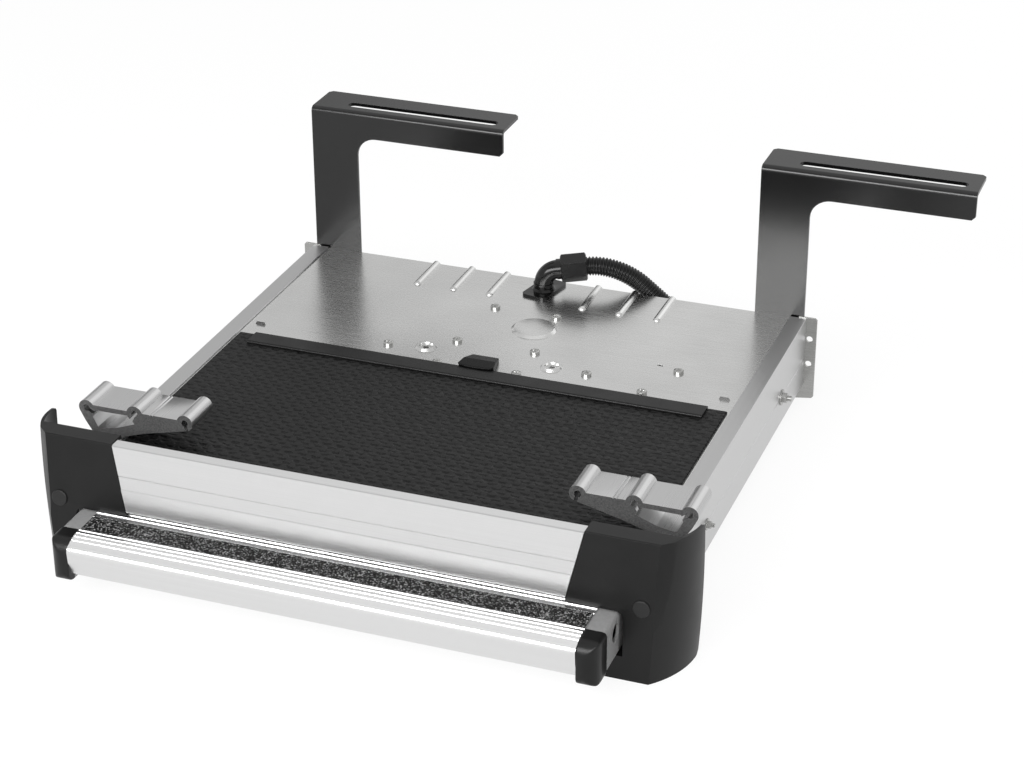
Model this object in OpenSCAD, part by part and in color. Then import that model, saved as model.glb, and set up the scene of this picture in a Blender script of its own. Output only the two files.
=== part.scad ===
// Electric slide-out entrance step for a caravan or camper van, shown closed.
// A flat sheet-metal housing hangs under the door sill. The tread rides out of
// it on two arms, whose glide shoes run inside the side rails. A rack under the
// housing is driven by a pinion on a small gearbox.
// All sizes are millimetres. X runs along the step, Y to the rear, Z upwards.
// Inside the modules Y starts at the front of the fascia and Z at the face of
// the top plate; at_mount() moves that to the middle of the four rear ear holes.

/* [Housing] */
// Clear width between the two side rails
clear_w = 552; // [500:2:640]
// Length from the front of the fascia to the rear plate
housing_len = 588; // [570:2:660]
// Depth from the face of the top plate to the surface the step stands on
housing_depth = 97; // [95:1:120]
// Thickness of the top plate
plate_t = 1.5; // [1.2:0.1:2.5]
// Thickness of the rear plate
rear_t = 2.5; // [2:0.5:4]
// Reach of each rear ear beyond its side rail
ear_reach = 12; // [11:1:20]
// Diameter of the holes in the rear ears
ear_hole_d = 7.2; // [5:0.2:8]
// Height between the two holes of an ear
ear_hole_gap = 30; // [20:1:40]

/* [Side rails] */
// Width of a side rail
rail_w = 18.4; // [16:0.2:22]
// Height of a side rail
rail_h = 81; // [78:1:88]
// Wall of a side rail
rail_wall = 2.6; // [2:0.1:3.2]
// Height of the glide channel inside a side rail
channel_h = 36; // [32:1:40]

/* [Front] */
// Height of the fascia above the top plate
fascia_up = 46; // [36:1:56]
// Width of the fascia at its top edge
fascia_w = 475; // [420:1:480]
// Depth of the fascia's top edge
fascia_lip = 13; // [11:1:16]
// Wall of the fascia
fascia_wall = 2.4; // [1.8:0.1:3]
// Reach of a corner cap's flat face beyond the side rail
cap_reach = 20; // [10:0.2:30]
// Length of a corner cap's side wall
cap_len = 58; // [50:1:70]
// Wall of a corner cap
cap_wall = 3.2; // [2.6:0.1:4]
// Radius of a corner cap's curved side, seen from above
cap_side_r = 96; // [78:1:130]
// Radius of the bulge of a corner cap's side, seen from the front
cap_bulge_r = 1400; // [400:10:2000]
// Diameter of a cap's round plug
plug_d = 16.5; // [12:0.5:20]

/* [Tread] */
// Travel of the tread from closed to open
travel = 190; // [120:5:190]
// Depth of the tread from its rear edge to the back of the nose
tread_depth = 200; // [160:5:230]
// Height of the tread's nose
nose_h = 38; // [34:1:42]
// Thickness of the tread behind its nose
tread_t = 24; // [20:1:28]
// Width of a tread arm
arm_w = 20; // [18:0.5:20.5]
// Height of a tread arm
arm_h = 43; // [41:1:44]
// Wall of a tread arm
arm_wall = 2.5; // [2:0.5:3.5]
// Width of the grit tape
tape_w = 25; // [20:1:28]

/* [Drive] */
// Module of the rack and pinion teeth
tooth_module = 1.5; // [1.5:0.5:2]
// Number of teeth on the pinion
pinion_teeth = 20; // [18:1:22]
// Width of the rack and of the pinion
gear_w = 12; // [8:1:14]
// Diameter of the motor
motor_d = 46; // [40:1:50]

/* [Brackets] */
// Thickness of the rear bracket sheet
bracket_t = 4; // [3:0.5:5]
// Inner radius of the rear bracket's fold
fold_r = 2; // [1:0.5:5]
// Height of the rear brackets above the top plate
bracket_up = 172.6; // [120:0.2:220]
// Length of a rear bracket's arm
bracket_arm = 231.8; // [200:1:260]
// Width of a rear bracket's leg
bracket_leg_w = 55.2; // [48:1:60]
// Depth of a rear bracket's top flange
flange_d = 54; // [44:1:64]
// Width of the long slot in a rear bracket
slot_w = 12.5; // [6:0.5:14]
// Length of a front bracket along the rail
front_bracket_len = 44; // [36:1:56]
// Radius of a front bracket's screw channels
channel_bore_r = 3.4; // [2.6:0.1:3.8]

/* [Mat and hose] */
// Thickness of the grip mat
mat_t = 3; // [2:0.5:4]
// Gap between the mat's rear edge and the heads of the drive's front screws
mat_gap = 0.6; // [0.4:0.2:35]
// Outer diameter of the corrugated hose
hose_d = 21.2; // [16:0.2:21.2]
// Depth of the hose's ribs
rib_depth = 1.4; // [0.8:0.1:2]
// Wall of the corrugated hose
hose_wall = 1.4; // [0.8:0.1:2]
// Distance between the ribs of the hose
rib_pitch = 3.5; // [3.2:0.1:5]

/* [Hidden] */
$fn = 48;
half_w = clear_w / 2;
rail_out = half_w + rail_w;
floor_z = -housing_depth;
rear_face = housing_len + rear_t;
ear_z = -37.5;
running = 0.4;
ledge_w = 8;
ledge_t = 2.5;

// Side rail, heights from the top plate
rail_top = 2;
channel_top = -30;
channel_bottom = channel_top - channel_h;
rail_front = 20;
groove_z = -47;
groove_w = 2;
groove_d = 1;

// Rear plate
ear_x = rail_out + 1 + ear_hole_d / 2;
rear_flange = 30;
ear_top = 3;

// Fascia
fascia_bottom = -22;
fascia_rake = 8;
fascia_end_rake = 15;
fascia_groove_z = 15.6;
fascia_ridge_z = 3;
seam = 0.3;

// Corner cap
cap_up = fascia_up + 1;
cap_tip_drop = 4.5;
cap_deck = rail_front;
cap_face_x = rail_out + cap_reach;
cap_bulge_z = -2;
cap_flat_in = 5.5;
cap_flat_turn = 50;
cap_flat_lean = 3.2;
guide_half = 12;
box_screw_l = 12;
shelf_t = 2.4;
arm_gap = 2;
plug_x = rail_out + 0.6;
plug_z = -18;
plug_proud = 1.6;
boss_bore = 3;

// Tread and arms, heights from the top plate
tread_top = -25;
arm_top = -27;
arm_bottom = arm_top - arm_h;
arm_out = half_w - arm_gap;
arm_in = arm_out - arm_w;
arm_nose = -60;
nose_y = -71;
tread_rear = nose_y + tread_depth;
rib_h = 1;
rib_step = 6;
tape_front = -43;
arm_screw_y = -17;
arm_screw_z = -42;
arm_screw_d = 18;

// Drive: the rack leaves the pinion's mesh only past the end of the travel
pinion_y = housing_len - travel - 16;
pitch_r = tooth_module * pinion_teeth / 2;
mesh_gap = 0.3;
gear_z = -62;
rack_back = 12;
rack_rear = pinion_y + travel + 10;
rack_x = -pitch_r - 1.25 * tooth_module - rack_back;
guide_t = 12;
motor_at = [22.4, pinion_y + 83.5];
casing_z = -42;
casing_top = -6;
motor_bottom = -88;
shaft_r = 5;
shaft_seat = 19;
case_half_w = 56;
case_front = 38;
case_rear = 130;
case_lug = 14;
member_y = pinion_y - 70;
member_d = 30;
member_z = -64;
member_h = 30;

// Glide shoes, which stay in the rails at both ends of the travel
arm_past_pinion = 48;
arm_rear = pinion_y + arm_past_pinion;
glide_inset = 5;
glide_len = 50;
glide_y = [rail_front + travel + glide_inset, arm_rear - glide_len - glide_inset];

// Screws of the top plate, as seen from above, from the pinion's axis
drive_screws = [[-46, -28], [42, -26], [-45, 28], [43, 29], [-36, 120], [36, 118]];
other_screws = [[-112, -4], [111, -1]];
box_screws = [[half_w - 98, -21], [half_w - 76, 37]];
screw_grip = 4;
screw_r = 2.4;
screw_gap = 0.2;
head_r = 5.4;
head_h = 4;

// Embossed features of the top plate
rib_x = [54.5, 97.5, 141];
rib_front = rear_face - 58;
rib_r = 4.6;
rib_sink = 1.2;
ring_x = 71;
ring_y = pinion_y + 3;
ring_h = 2.6;
dome_r = 25;
dome_h = 2.6;
lance_x = half_w - 14;
lance_y = pinion_y - 6;

// Rear brackets, left edge of each leg
bracket_x = [-rail_out + 2.8, rail_out - 3.7 - bracket_leg_w];
bracket_foot = -60;
bracket_arm_h = 30.8;
bracket_inner_r = 23;
bolt_z = [-20, -44];
bolt_r = 4;
bolt_gap = 0.2;
rail_bolt_past_pinion = 108;
rail_bolt_past_bracket = 78;
slot_inset = 20.6;
slot_start = 37.6;
slot_end = 13.6;
slot_len = bracket_arm - slot_start - slot_end;

// Front brackets, screw channels measured from the rail's inner face
bracket_front = 83;
boss_r = 8.5;
boss_in = [-73, 34.3];
boss_mid = [-18, 34.8];
boss_out = [35.3, 32.7];
web_top = 36.8;
web_t = 5.4;
bracket_base = 6;
mouth_w = 3.4;

// Mat, strip and clip
mat_side = 3;
mat_rear = pinion_y + drive_screws[0][1] - head_r - mat_gap;
strip_d = 25;
strip_x = half_w - 23;
strip_t = 3;
clip_front_w = 40;
clip_rear_w = 30;
clip_len = 31;
clip_lip = 5;
clip_h = 9.4;

// Control box under the plate
box_x = [half_w - 112, half_w - 60];
box_y = [-36, 52];
box_z = -30;

// Cable elbow, its sleeve and the hose, from the rear face of the housing
elbow_at = [-1, -28];
elbow_r = 10.5;
elbow_wall = 2.5;
elbow_bend = 17;
elbow_tilt = 6;
flange_turn = -12;
sleeve_r = 16.2;
sleeve_len = 29;
sleeve_turn = 48;
hose_gap = 0.3;
hose_cuff = 20;
connector_len = 40;
hose_sides = 8;
hose_points = [
    [17, -21.5, 27], [30.5, -16.5, 28.5], [44, -11.5, 30], [55, -7.5, 30.2], [66, -3.5, 28.4],
    [77, 0.5, 24.7], [87, 4.5, 19.4], [96.5, 8, 12.8], [105, 11, 5], [113.5, 13.5, -3.2],
    [123, 16, -12.3], [133, 18.5, -21.9], [143, 21, -31.5], [153, 23.5, -41.1],
    [162, 25.5, -49.8], [171, 27, -58.4], [182.5, 27.5, -68.1], [195, 27.5, -75.9],
    [209, 27.5, -81.6], [223.5, 27.5, -85], [238, 27.5, -86.2], [256, 27.5, -86.2]
];

// Moves the drawing's zero to the middle of the four rear ear holes
module at_mount() {
    translate([0, -rear_face, -ear_z]) children();
}

// Places a piece drawn for the right side: 1 for right, -1 for left
module on_side(side) {
    if (side > 0) {
        children();
    } else {
        mirror([1, 0, 0]) children();
    }
}

// Extrudes a profile drawn in X and Z from y0 to y1
module along_y(y0, y1) {
    translate([0, y1, 0]) rotate([90, 0, 0]) linear_extrude(y1 - y0) children();
}

// Extrudes a profile drawn in Y and Z from x0 to x1
module along_x(x0, x1) {
    translate([x0, 0, 0]) rotate([90, 0, 90]) linear_extrude(x1 - x0) children();
}

// Rectangle between two corners
module rect(x0, z0, x1, z1) {
    translate([x0, z0]) square([x1 - x0, z1 - z0]);
}

// Points of an arc about c, for an outline
function arc(c, r, a0, a1, n = 6) =
    [for (i = [0:n]) c + r * [cos(a0 + (a1 - a0) * i / n), sin(a0 + (a1 - a0) * i / n)]];

// Rectangle with four rounded corners
module round_rect(x0, z0, x1, z1, r) {
    polygon(concat(
        arc([x1 - r, z1 - r], r, 0, 90),
        arc([x0 + r, z1 - r], r, 90, 180),
        arc([x0 + r, z0 + r], r, 180, 270),
        arc([x1 - r, z0 + r], r, 270, 360)
    ));
}

// Housing

module emboss_ribs(r, y1) {
    for (x = rib_x, s = [-1, 1]) translate([s * x, rib_front, -rib_sink]) {
        rotate([-90, 0, 0]) cylinder(h = y1 - rib_front, r = r);
        sphere(r = r);
    }
}

// Half-round ear pushed up out of the plate beside each rail
module lance(s) {
    translate([s * lance_x, lance_y, 0]) intersection() {
        cylinder(h = 3, r1 = 6, r2 = 4.5);
        translate([-8, 0, 0]) cube([16, 8, 3]);
    }
}

module top_plate() {
    plate_x = half_w - seam;
    below = -plate_t - 1;
    color("#b8b8b8") difference() {
        union() {
            translate([-plate_x, fascia_lip, -plate_t])
                cube([2 * plate_x, rear_face - fascia_lip, plate_t]);
            intersection() {
                emboss_ribs(rib_r, rear_face);
                translate([-half_w, 0, -plate_t]) cube([clear_w, rear_face, 20]);
            }
            for (s = [-1, 1]) {
                translate([s * ring_x, ring_y, 0]) cylinder(h = ring_h, r1 = 12, r2 = 10.2);
                lance(s);
            }
            translate([motor_at[0], motor_at[1], 0])
                cylinder(h = dome_h, r1 = dome_r, r2 = dome_r - 3);
        }
        intersection() {
            emboss_ribs(rib_r - plate_t, rear_face + 1);
            translate([-half_w, 0, below]) cube([clear_w, rear_face + 1, 20]);
        }
        translate([motor_at[0], motor_at[1], below])
            cylinder(h = dome_h + 1, r1 = dome_r - 1, r2 = dome_r - 4);
        for (s = [-1, 1]) translate([s * ring_x, ring_y, 0]) {
            cylinder(h = ring_h + 1, r1 = 6.6, r2 = 8);
            translate([0, 0, below]) cylinder(h = 5, r = 3.4);
        }
        for (p = concat(drive_screws, other_screws, box_screws))
            translate([p[0], pinion_y + p[1], below]) cylinder(h = 4, r = screw_r);
        translate([elbow_at[0], rear_face + elbow_at[1], below]) cylinder(h = 4, r = 8);
        translate([box_x[0] + 10, pinion_y + 45, below]) cube([6.5, 2.4, 4]);
    }
}

module rail_profile() {
    inner = rail_wall;
    rail_bottom = rail_top - rail_h;
    difference() {
        union() {
            difference() {
                rect(half_w, rail_bottom, rail_out, rail_top);
                rect(half_w + inner, channel_top + inner, rail_out - inner, rail_top - inner);
                rect(half_w - 1, channel_bottom, rail_out - inner, channel_top);
                rect(half_w + inner, rail_bottom + inner, rail_out - inner,
                     channel_bottom - inner);
            }
            rect(half_w - ledge_w, -plate_t - ledge_t, half_w + inner, -plate_t);
        }
        polygon([
            [rail_out + 0.1, groove_z + groove_w / 2 + 0.1], [rail_out - groove_d, groove_z],
            [rail_out + 0.1, groove_z - groove_w / 2 - 0.1]
        ]);
    }
}

module side_rail(side) {
    color("#cfcfcf") on_side(side) along_y(rail_front, housing_len) rail_profile();
}

// Y of the raked front face at a height
function face_y(z, top) = -fascia_rake * (top - max(z, fascia_bottom)) / (top - fascia_bottom);

module fascia_profile() {
    top = fascia_up;
    low = fascia_bottom;
    ridge = fascia_ridge_z;
    groove = fascia_groove_z;
    wall = fascia_wall;
    shelf = -2;
    ledge_y = fascia_lip + ledge_w;
    difference() {
        polygon([
            [face_y(low, top) + 1.5, low], [face_y(low, top), low + 1.5],
            [face_y(ridge, top) - 1, ridge - 1.6], [face_y(ridge, top) - 0.8, ridge - 0.6],
            [face_y(ridge, top) - 0.2, ridge],
            [face_y(groove, top), groove - 0.4], [face_y(groove, top) + 0.5, groove],
            [face_y(groove, top), groove + 0.4], [face_y(top, top), top - 1.2],
            [face_y(top, top) + 1.2, top], [fascia_lip - 1, top], [fascia_lip, top - 1],
            [fascia_lip, -plate_t], [ledge_y, -plate_t], [ledge_y, -plate_t - ledge_t],
            [fascia_lip, -plate_t - ledge_t], [fascia_lip, low]
        ]);
        polygon([
            [face_y(low, top) + wall, low + wall], [face_y(shelf, top) + wall, shelf],
            [fascia_lip - wall, shelf], [fascia_lip - wall, low + wall]
        ]);
        polygon([
            [face_y(0, top) + wall, shelf + wall], [face_y(top, top) + wall, top - wall],
            [fascia_lip - wall, top - wall], [fascia_lip - wall, shelf + wall]
        ]);
    }
}

// The fascia's ends slope in towards the bottom, and the corner caps follow them
module fascia_outline(extra) {
    fall = fascia_end_rake / (fascia_up - fascia_bottom);
    low = floor_z - 10;
    high = cap_up + 10;
    foot = fascia_w / 2 + extra - fall * (fascia_up - low);
    head = fascia_w / 2 + extra + fall * (high - fascia_up);
    polygon([[-foot, low], [foot, low], [head, high], [-head, high]]);
}

module front_fascia() {
    color("#e2e2e2") intersection() {
        along_x(-half_w, half_w) fascia_profile();
        along_y(-fascia_rake - 20, fascia_lip + 20) fascia_outline(0);
    }
}

// Corner cap, drawn for the right side

// The curved side leaves the flat face at cap_face_x and runs true to Y at its rear
cap_side_x = cap_face_x - sqrt(cap_side_r * cap_side_r - cap_len * cap_len);
cap_low = floor_z - 5;
cap_high = cap_up + 5;

// Room inside the barrel-shaped side, drawn in from its face by the depth given
module cap_barrel(depth) {
    steps = 10;
    z = [for (i = [0:steps]) cap_low + (cap_high - cap_low) * i / steps];
    translate([0, -fascia_rake - 20, cap_low])
        cube([cap_side_x, cap_len + fascia_rake + 30, cap_high - cap_low]);
    translate([cap_side_x, cap_len, 0]) rotate_extrude($fn = 96) polygon(concat(
        [[0, cap_low]],
        [for (h = z) [cap_side_r - depth - pow(h - cap_bulge_z, 2) / 2 / cap_bulge_r, h]],
        [[0, cap_high]]
    ));
}

// Side view: raked face, level deck and a side wall that falls to the rear
module cap_side_view(depth) {
    foot = face_y(fascia_bottom, cap_up) + depth;
    under = floor_z - (depth > 0 ? 1 : 0);
    rear = cap_len + depth;
    tip = cap_up - cap_tip_drop - depth;
    polygon([
        [foot, fascia_bottom], [foot, under], [rear - 4, under], [rear, under + 5],
        [rear, tip - 4], [rear - 1.2, tip - 1.2], [rear - 4, tip],
        [cap_deck, cap_up - depth], [depth + 1, cap_up - depth],
        [face_y(cap_up - 1, cap_up) + depth, cap_up - depth - 1]
    ]);
}

// Flat that takes off the corner between face and side, wide at the top and
// running out towards the bottom
module cap_corner_flat(depth) {
    translate([cap_face_x - cap_flat_in, 0, cap_up]) rotate([0, -cap_flat_lean, -cap_flat_turn])
        translate([-depth, -cap_len, cap_low - cap_high])
            cube([cap_len, 2 * cap_len, 2 * (cap_high - cap_low)]);
}

module cap_solid(depth) {
    difference() {
        intersection() {
            cap_barrel(depth);
            along_x(0, cap_face_x + 60) cap_side_view(depth);
        }
        cap_corner_flat(depth);
    }
}

// Opening for the arm and, inboard of it, for the tread
module cap_opening() {
    corner_r = 8;
    edge = arm_out + 2 * arm_gap;
    sill = arm_bottom - arm_gap;
    top = arm_top + arm_gap;
    polygon(concat(
        [[0, sill], [edge, sill]],
        arc([edge - corner_r, top - corner_r], corner_r, 0, 90),
        [[arm_in - 1, top], [0, tread_top + arm_gap + 4]]
    ));
}

// Screw boss behind the plug and the webs that seat the cap on the rail's end
module cap_ribs() {
    web = 2.4;
    depth = rail_front + fascia_rake;
    intersection() {
        union() {
            translate([plug_x, -fascia_rake, plug_z]) rotate([-90, 0, 0])
                cylinder(h = depth, r = 7.5);
            for (z = [rail_top - 6, rail_top - rail_h])
                translate([half_w, -fascia_rake, z]) cube([60, depth, web]);
            translate([rail_out - web, -fascia_rake, floor_z])
                cube([web, depth, cap_up - floor_z]);
            // Shelf under the arm
            translate([arm_in - 1, -fascia_rake, arm_bottom - arm_gap - shelf_t])
                cube([rail_out + 1 - arm_in, depth, shelf_t]);
        }
        cap_solid(0.5);
    }
}

module corner_cap(side) {
    front = -fascia_rake - 20;
    color("#303030") on_side(side) difference() {
        union() {
            difference() {
                cap_solid(0);
                cap_solid(cap_wall);
                intersection() {
                    cap_barrel(cap_wall);
                    translate([-1, cap_deck, cap_low - 1])
                        cube([cap_face_x + 60, cap_len, cap_high - cap_low + 2]);
                }
            }
            cap_ribs();
        }
        along_y(front, cap_len + 10) fascia_outline(seam);
        translate([0, front, floor_z - 5])
            cube([arm_in - 1, 40 + rail_front, fascia_bottom - 12 + 5 - floor_z]);
        along_y(front, cap_len + 10) cap_opening();
        translate([plug_x, front, plug_z]) rotate([-90, 0, 0]) cylinder(h = 60, r = boss_bore);
    }
}

// Round plug over the cap's screw, square to the raked face
module cap_plug(side) {
    rake = atan(fascia_rake / (cap_up - fascia_bottom));
    chamfer = 0.6;
    color("#2a2a2a") on_side(side) translate([plug_x, face_y(plug_z, cap_up), plug_z])
        rotate([90 - rake, 0, 0]) {
            cylinder(h = plug_proud - chamfer, r = plug_d / 2);
            translate([0, 0, plug_proud - chamfer])
                cylinder(h = chamfer, r1 = plug_d / 2, r2 = plug_d / 2 - chamfer);
            translate([0, 0, -5]) cylinder(h = 5, r = boss_bore - 0.6);
        }
}

// Rear plate with its ears

module ear_outline() {
    out = rail_out + ear_reach;
    polygon([
        [half_w - 1, floor_z], [half_w + 6, floor_z], [out - 2, floor_z + 3],
        [out, floor_z + 5], [out, ear_top - 2], [out - 2, ear_top],
        [half_w + 10, ear_top], [half_w + 8, -plate_t], [half_w - 1, -plate_t]
    ]);
}

module rear_profile() {
    difference() {
        union() {
            rect(-half_w, floor_z, half_w, -plate_t);
            for (s = [0, 1]) mirror([s, 0]) ear_outline();
        }
        for (s = [-1, 1], z = [-1, 1])
            translate([s * ear_x, ear_z + z * ear_hole_gap / 2]) circle(d = ear_hole_d);
        for (x = bracket_x, z = bolt_z)
            translate([x + bracket_leg_w / 2, z]) circle(r = bolt_r + bolt_gap);
    }
}

module rear_plate() {
    bend = 1;
    color("#b4b4b4") {
        along_y(housing_len, rear_face) rear_profile();
        translate([-half_w + 6, housing_len - rear_flange, floor_z])
            cube([clear_w - 12, rear_flange + bend, rear_t]);
    }
}

// Rear brackets, both cut and bent alike

module bracket_outline() {
    leg = bracket_leg_w;
    r = bracket_inner_r;
    low = bracket_up - bracket_arm_h;
    polygon(concat(
        [[0, bracket_foot + 3], [3, bracket_foot], [leg - 3, bracket_foot]],
        [[leg, bracket_foot + 3]],
        arc([leg + r, low - r], r, 180, 90, 8),
        [[bracket_arm - 4, low], [bracket_arm, low + 4], [bracket_arm, bracket_up + 1]],
        [[0, bracket_up + 1]]
    ));
}

// A slot as two round ends and a straight middle
module slot(x0, x1, y, r) {
    translate([x0 + r, y]) circle(r = r);
    translate([x1 - r, y]) circle(r = r);
    rect(x0 + r, y - r, x1 - r, y + r);
}

// Side view of the sheet, folded over at its top
module bracket_fold() {
    r = fold_r + bracket_t;
    rect(0, bracket_foot - 1, bracket_t, bracket_up - r);
    rect(r, bracket_up - bracket_t, flange_d, bracket_up);
    translate([r, bracket_up - r]) difference() {
        intersection() {
            circle(r = r);
            translate([-r, 0]) square(r);
        }
        circle(r = fold_r);
    }
}

// Flange from above, longer than the sheet but for its two clipped corners
module flange_outline() {
    cut = 4;
    polygon([
        [-1, -1], [bracket_arm + 1, -1], [bracket_arm + 1, flange_d - cut - 1],
        [bracket_arm - cut - 1, flange_d + 1], [cut + 1, flange_d + 1], [-1, flange_d - cut - 1]
    ]);
}

module rear_bracket(k) {
    color("#2e2e2e") translate([bracket_x[k], rear_face, 0]) difference() {
        intersection() {
            along_x(-1, bracket_arm + 1) bracket_fold();
            along_y(-1, flange_d + 1) bracket_outline();
            translate([0, 0, bracket_foot - 2]) linear_extrude(bracket_up - bracket_foot + 4)
                flange_outline();
        }
        for (z = bolt_z) translate([bracket_leg_w / 2, -1, z]) rotate([-90, 0, 0])
            cylinder(h = bracket_t + 2, r = bolt_r + bolt_gap);
        translate([0, 0, bracket_up - bracket_t - 1]) linear_extrude(bracket_t + 2)
            slot(slot_start, slot_start + slot_len, slot_inset, slot_w / 2);
    }
}

// Hex bolt through the bracket and the rear plate, with its nut inside
module through_bolt() {
    hex_r = 7.5;
    washer_r = 8;
    washer_t = 1.5;
    back = rear_face + bracket_t;
    rotate([-90, 0, 0]) {
        translate([0, 0, housing_len - 9]) cylinder(h = back - housing_len + 10, r = bolt_r);
        translate([0, 0, back]) cylinder(h = washer_t, r = washer_r);
        translate([0, 0, back + washer_t]) cylinder(h = 5, r = hex_r, $fn = 6);
        translate([0, 0, housing_len - washer_t]) cylinder(h = washer_t, r = washer_r);
        translate([0, 0, housing_len - washer_t - 6]) cylinder(h = 6, r = hex_r, $fn = 6);
    }
}

module rear_bolts(k) {
    color("#c4c4c4") for (z = bolt_z)
        translate([bracket_x[k] + bracket_leg_w / 2, 0, z]) through_bolt();
}

// Front brackets, an extrusion with three screw channels, drawn for the right side

module bracket_web() {
    intersection() {
        polygon([
            boss_in + [-4, 2.5], [boss_out[0], web_top], boss_out + [8, -3], [38, 19],
            [30.5, 7.2], [27.5, bracket_base], [0, bracket_base], [-28, 14.8],
            boss_in + [-2, -8]
        ]);
        rect(-150, -20, 100, web_top);
    }
}

module bracket_window() {
    polygon([
        boss_mid + [6, -3], [boss_out[0] - 8, web_top - web_t], [boss_out[0] - 6, 24],
        [24, 13.2], [21, 12.4], [4, 15.4], boss_mid + [1, -11.5]
    ]);
}

// Bar of radius r along the bracket at a screw channel
module channel_bar(c, r, extra) {
    translate([c[0], bracket_front - extra, c[1]]) rotate([-90, 0, 0])
        cylinder(h = front_bracket_len + 2 * extra, r = r);
}

module bracket_solid() {
    channels = [boss_in, boss_mid, boss_out];
    mouths = [-105, -60, -150];
    rear = bracket_front + front_bracket_len;
    difference() {
        union() {
            along_y(bracket_front, rear) difference() {
                bracket_web();
                bracket_window();
            }
            for (c = channels) channel_bar(c, boss_r, 0);
        }
        for (c = channels) channel_bar(c, channel_bore_r, 1);
        along_y(bracket_front - 1, rear + 1) {
            for (k = [0:2]) translate(channels[k]) rotate(mouths[k])
                rect(0, -mouth_w / 2, 12, mouth_w / 2);
            for (x = [-38.4, -35]) polygon([
                [x - 0.9, web_top + 0.1], [x, web_top - 1], [x + 0.9, web_top + 0.1]
            ]);
        }
    }
}

module front_bracket(side) {
    color("#a2a2a2") on_side(side) translate([half_w, 0, 0]) bracket_solid();
}

// Spacer that seats the front bracket on the rail
module bracket_pad(side) {
    inset = 3;
    rear = bracket_front + front_bracket_len;
    color("#b0b0b0") on_side(side) along_y(bracket_front + inset, rear - inset)
        rect(half_w + 1, rail_top, rail_out, bracket_base);
}

// Bolts in the rail's side groove, a large one at the rear and a small one in front
module rail_bolt(y, size) {
    translate([rail_out, y, groove_z]) rotate([0, 90, 0]) {
        cylinder(h = 1.4, r = 1.45 * size);
        translate([0, 0, 1.4]) cylinder(h = 0.85 * size, r = size, $fn = 6);
        translate([0, 0, 1.4 + 0.85 * size]) cylinder(h = 0.8 * size, r = 0.5 * size);
    }
}

module rail_bolts(side) {
    color("#c8c8c8") on_side(side) {
        rail_bolt(pinion_y + rail_bolt_past_pinion, 6);
        rail_bolt(bracket_front + front_bracket_len + rail_bolt_past_bracket, 4.2);
    }
}

// Mat, its rear strip and the clip

module grip_mat() {
    x = half_w - mat_side;
    front = fascia_lip + seam;
    color("#2b2b2b") translate([-x, front, 0]) cube([2 * x, mat_rear - front, mat_t]);
}

module edge_strip() {
    r = 2;
    top = mat_t + strip_t;
    rear = mat_rear - 1;
    front = mat_rear - strip_d;
    color("#232323") along_x(-strip_x, strip_x) polygon(concat(
        [[rear, mat_t], [front, mat_t]],
        arc([front + r, top - r], r, 180, 90, 4),
        arc([rear - r, top - r], r, 90, 0, 4)
    ));
}

// Clip behind the strip: it widens to the front, where its lip lies over the strip
module strip_clip() {
    front = mat_rear - clip_lip;
    rear = mat_rear + clip_len;
    ridge = mat_rear + 0.36 * clip_len;
    seat = mat_t + strip_t + seam;
    r = 2.5;
    bow = 2;
    color("#1f1f1f") intersection() {
        along_x(-clip_front_w / 2, clip_front_w / 2) polygon([
            [rear, 0], [mat_rear, 0], [mat_rear, seat], [front, seat], [front, clip_h - 2],
            [front + 1.2, clip_h - 1], [ridge, clip_h], [rear - 2, clip_h - 4.4],
            [rear, clip_h - 6]
        ]);
        linear_extrude(clip_h) polygon(concat(
            arc([clip_rear_w / 2 - r, rear - r], r, 0, 90, 3),
            arc([r - clip_rear_w / 2, rear - r], r, 90, 180, 3),
            [[-clip_front_w / 2, front + bow + r], [r - clip_front_w / 2, front + bow]],
            [[-clip_front_w / 4, front + 0.25 * bow], [0, front]],
            [[clip_front_w / 4, front + 0.25 * bow], [clip_front_w / 2 - r, front + bow]],
            [[clip_front_w / 2, front + bow + r]]
        ));
    }
}

// Screws

module pan_screw(depth) {
    dome = 8;
    translate([0, 0, -depth]) cylinder(h = depth + 0.5, r = screw_r - screw_gap);
    difference() {
        intersection() {
            cylinder(h = head_h, r = head_r);
            translate([0, 0, head_h - dome]) sphere(r = dome);
        }
        translate([0, 0, head_h - 1.4]) cylinder(h = 2, r = 2.2, $fn = 6);
    }
}

module screw_set(places) {
    color("#c8c8c8") for (p = places) translate([p[0], pinion_y + p[1], 0])
        pan_screw(plate_t + screw_grip);
}

// Nut under each of the two screws that hold nothing else
module nut_set() {
    color("#c8c8c8") for (p = other_screws) translate([p[0], pinion_y + p[1], -plate_t - 3])
        difference() {
            cylinder(h = 3, r = 5, $fn = 6);
            translate([0, 0, -1]) cylinder(h = 5, r = screw_r);
        }
}

// Drive, hung under the plate

// Outline of the casing: a round end at the pinion, one at the motor and a guide lug
module casing_outline() {
    r0 = 34;
    r1 = 27;
    gap = motor_at - [0, pinion_y];
    lean = atan2(gap[0], gap[1]);
    open = asin((r0 - r1) / norm(gap));
    polygon(concat(
        arc(motor_at, r1, open - lean, 180 - lean - open, 12),
        arc([0, pinion_y], r0, 180 - lean - open, 360 - lean + open, 16)
    ));
    rect(rack_x - running - guide_t - 4, pinion_y - case_lug, 0, pinion_y + case_lug);
}

module gearbox() {
    flange_t = -casing_top - plate_t;
    color("#8f8f8f") difference() {
        union() {
            translate([0, 0, casing_top]) linear_extrude(flange_t)
                round_rect(-case_half_w, pinion_y - case_front, case_half_w,
                           pinion_y + case_rear, 10);
            translate([0, 0, casing_z]) linear_extrude(casing_top - casing_z) casing_outline();
        }
        translate([0, pinion_y, casing_z - 1]) cylinder(h = shaft_seat + 1, r = shaft_r + mesh_gap);
        for (p = drive_screws) translate([p[0], pinion_y + p[1], casing_top - 1])
            cylinder(h = 10, r = screw_r);
    }
}

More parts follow.
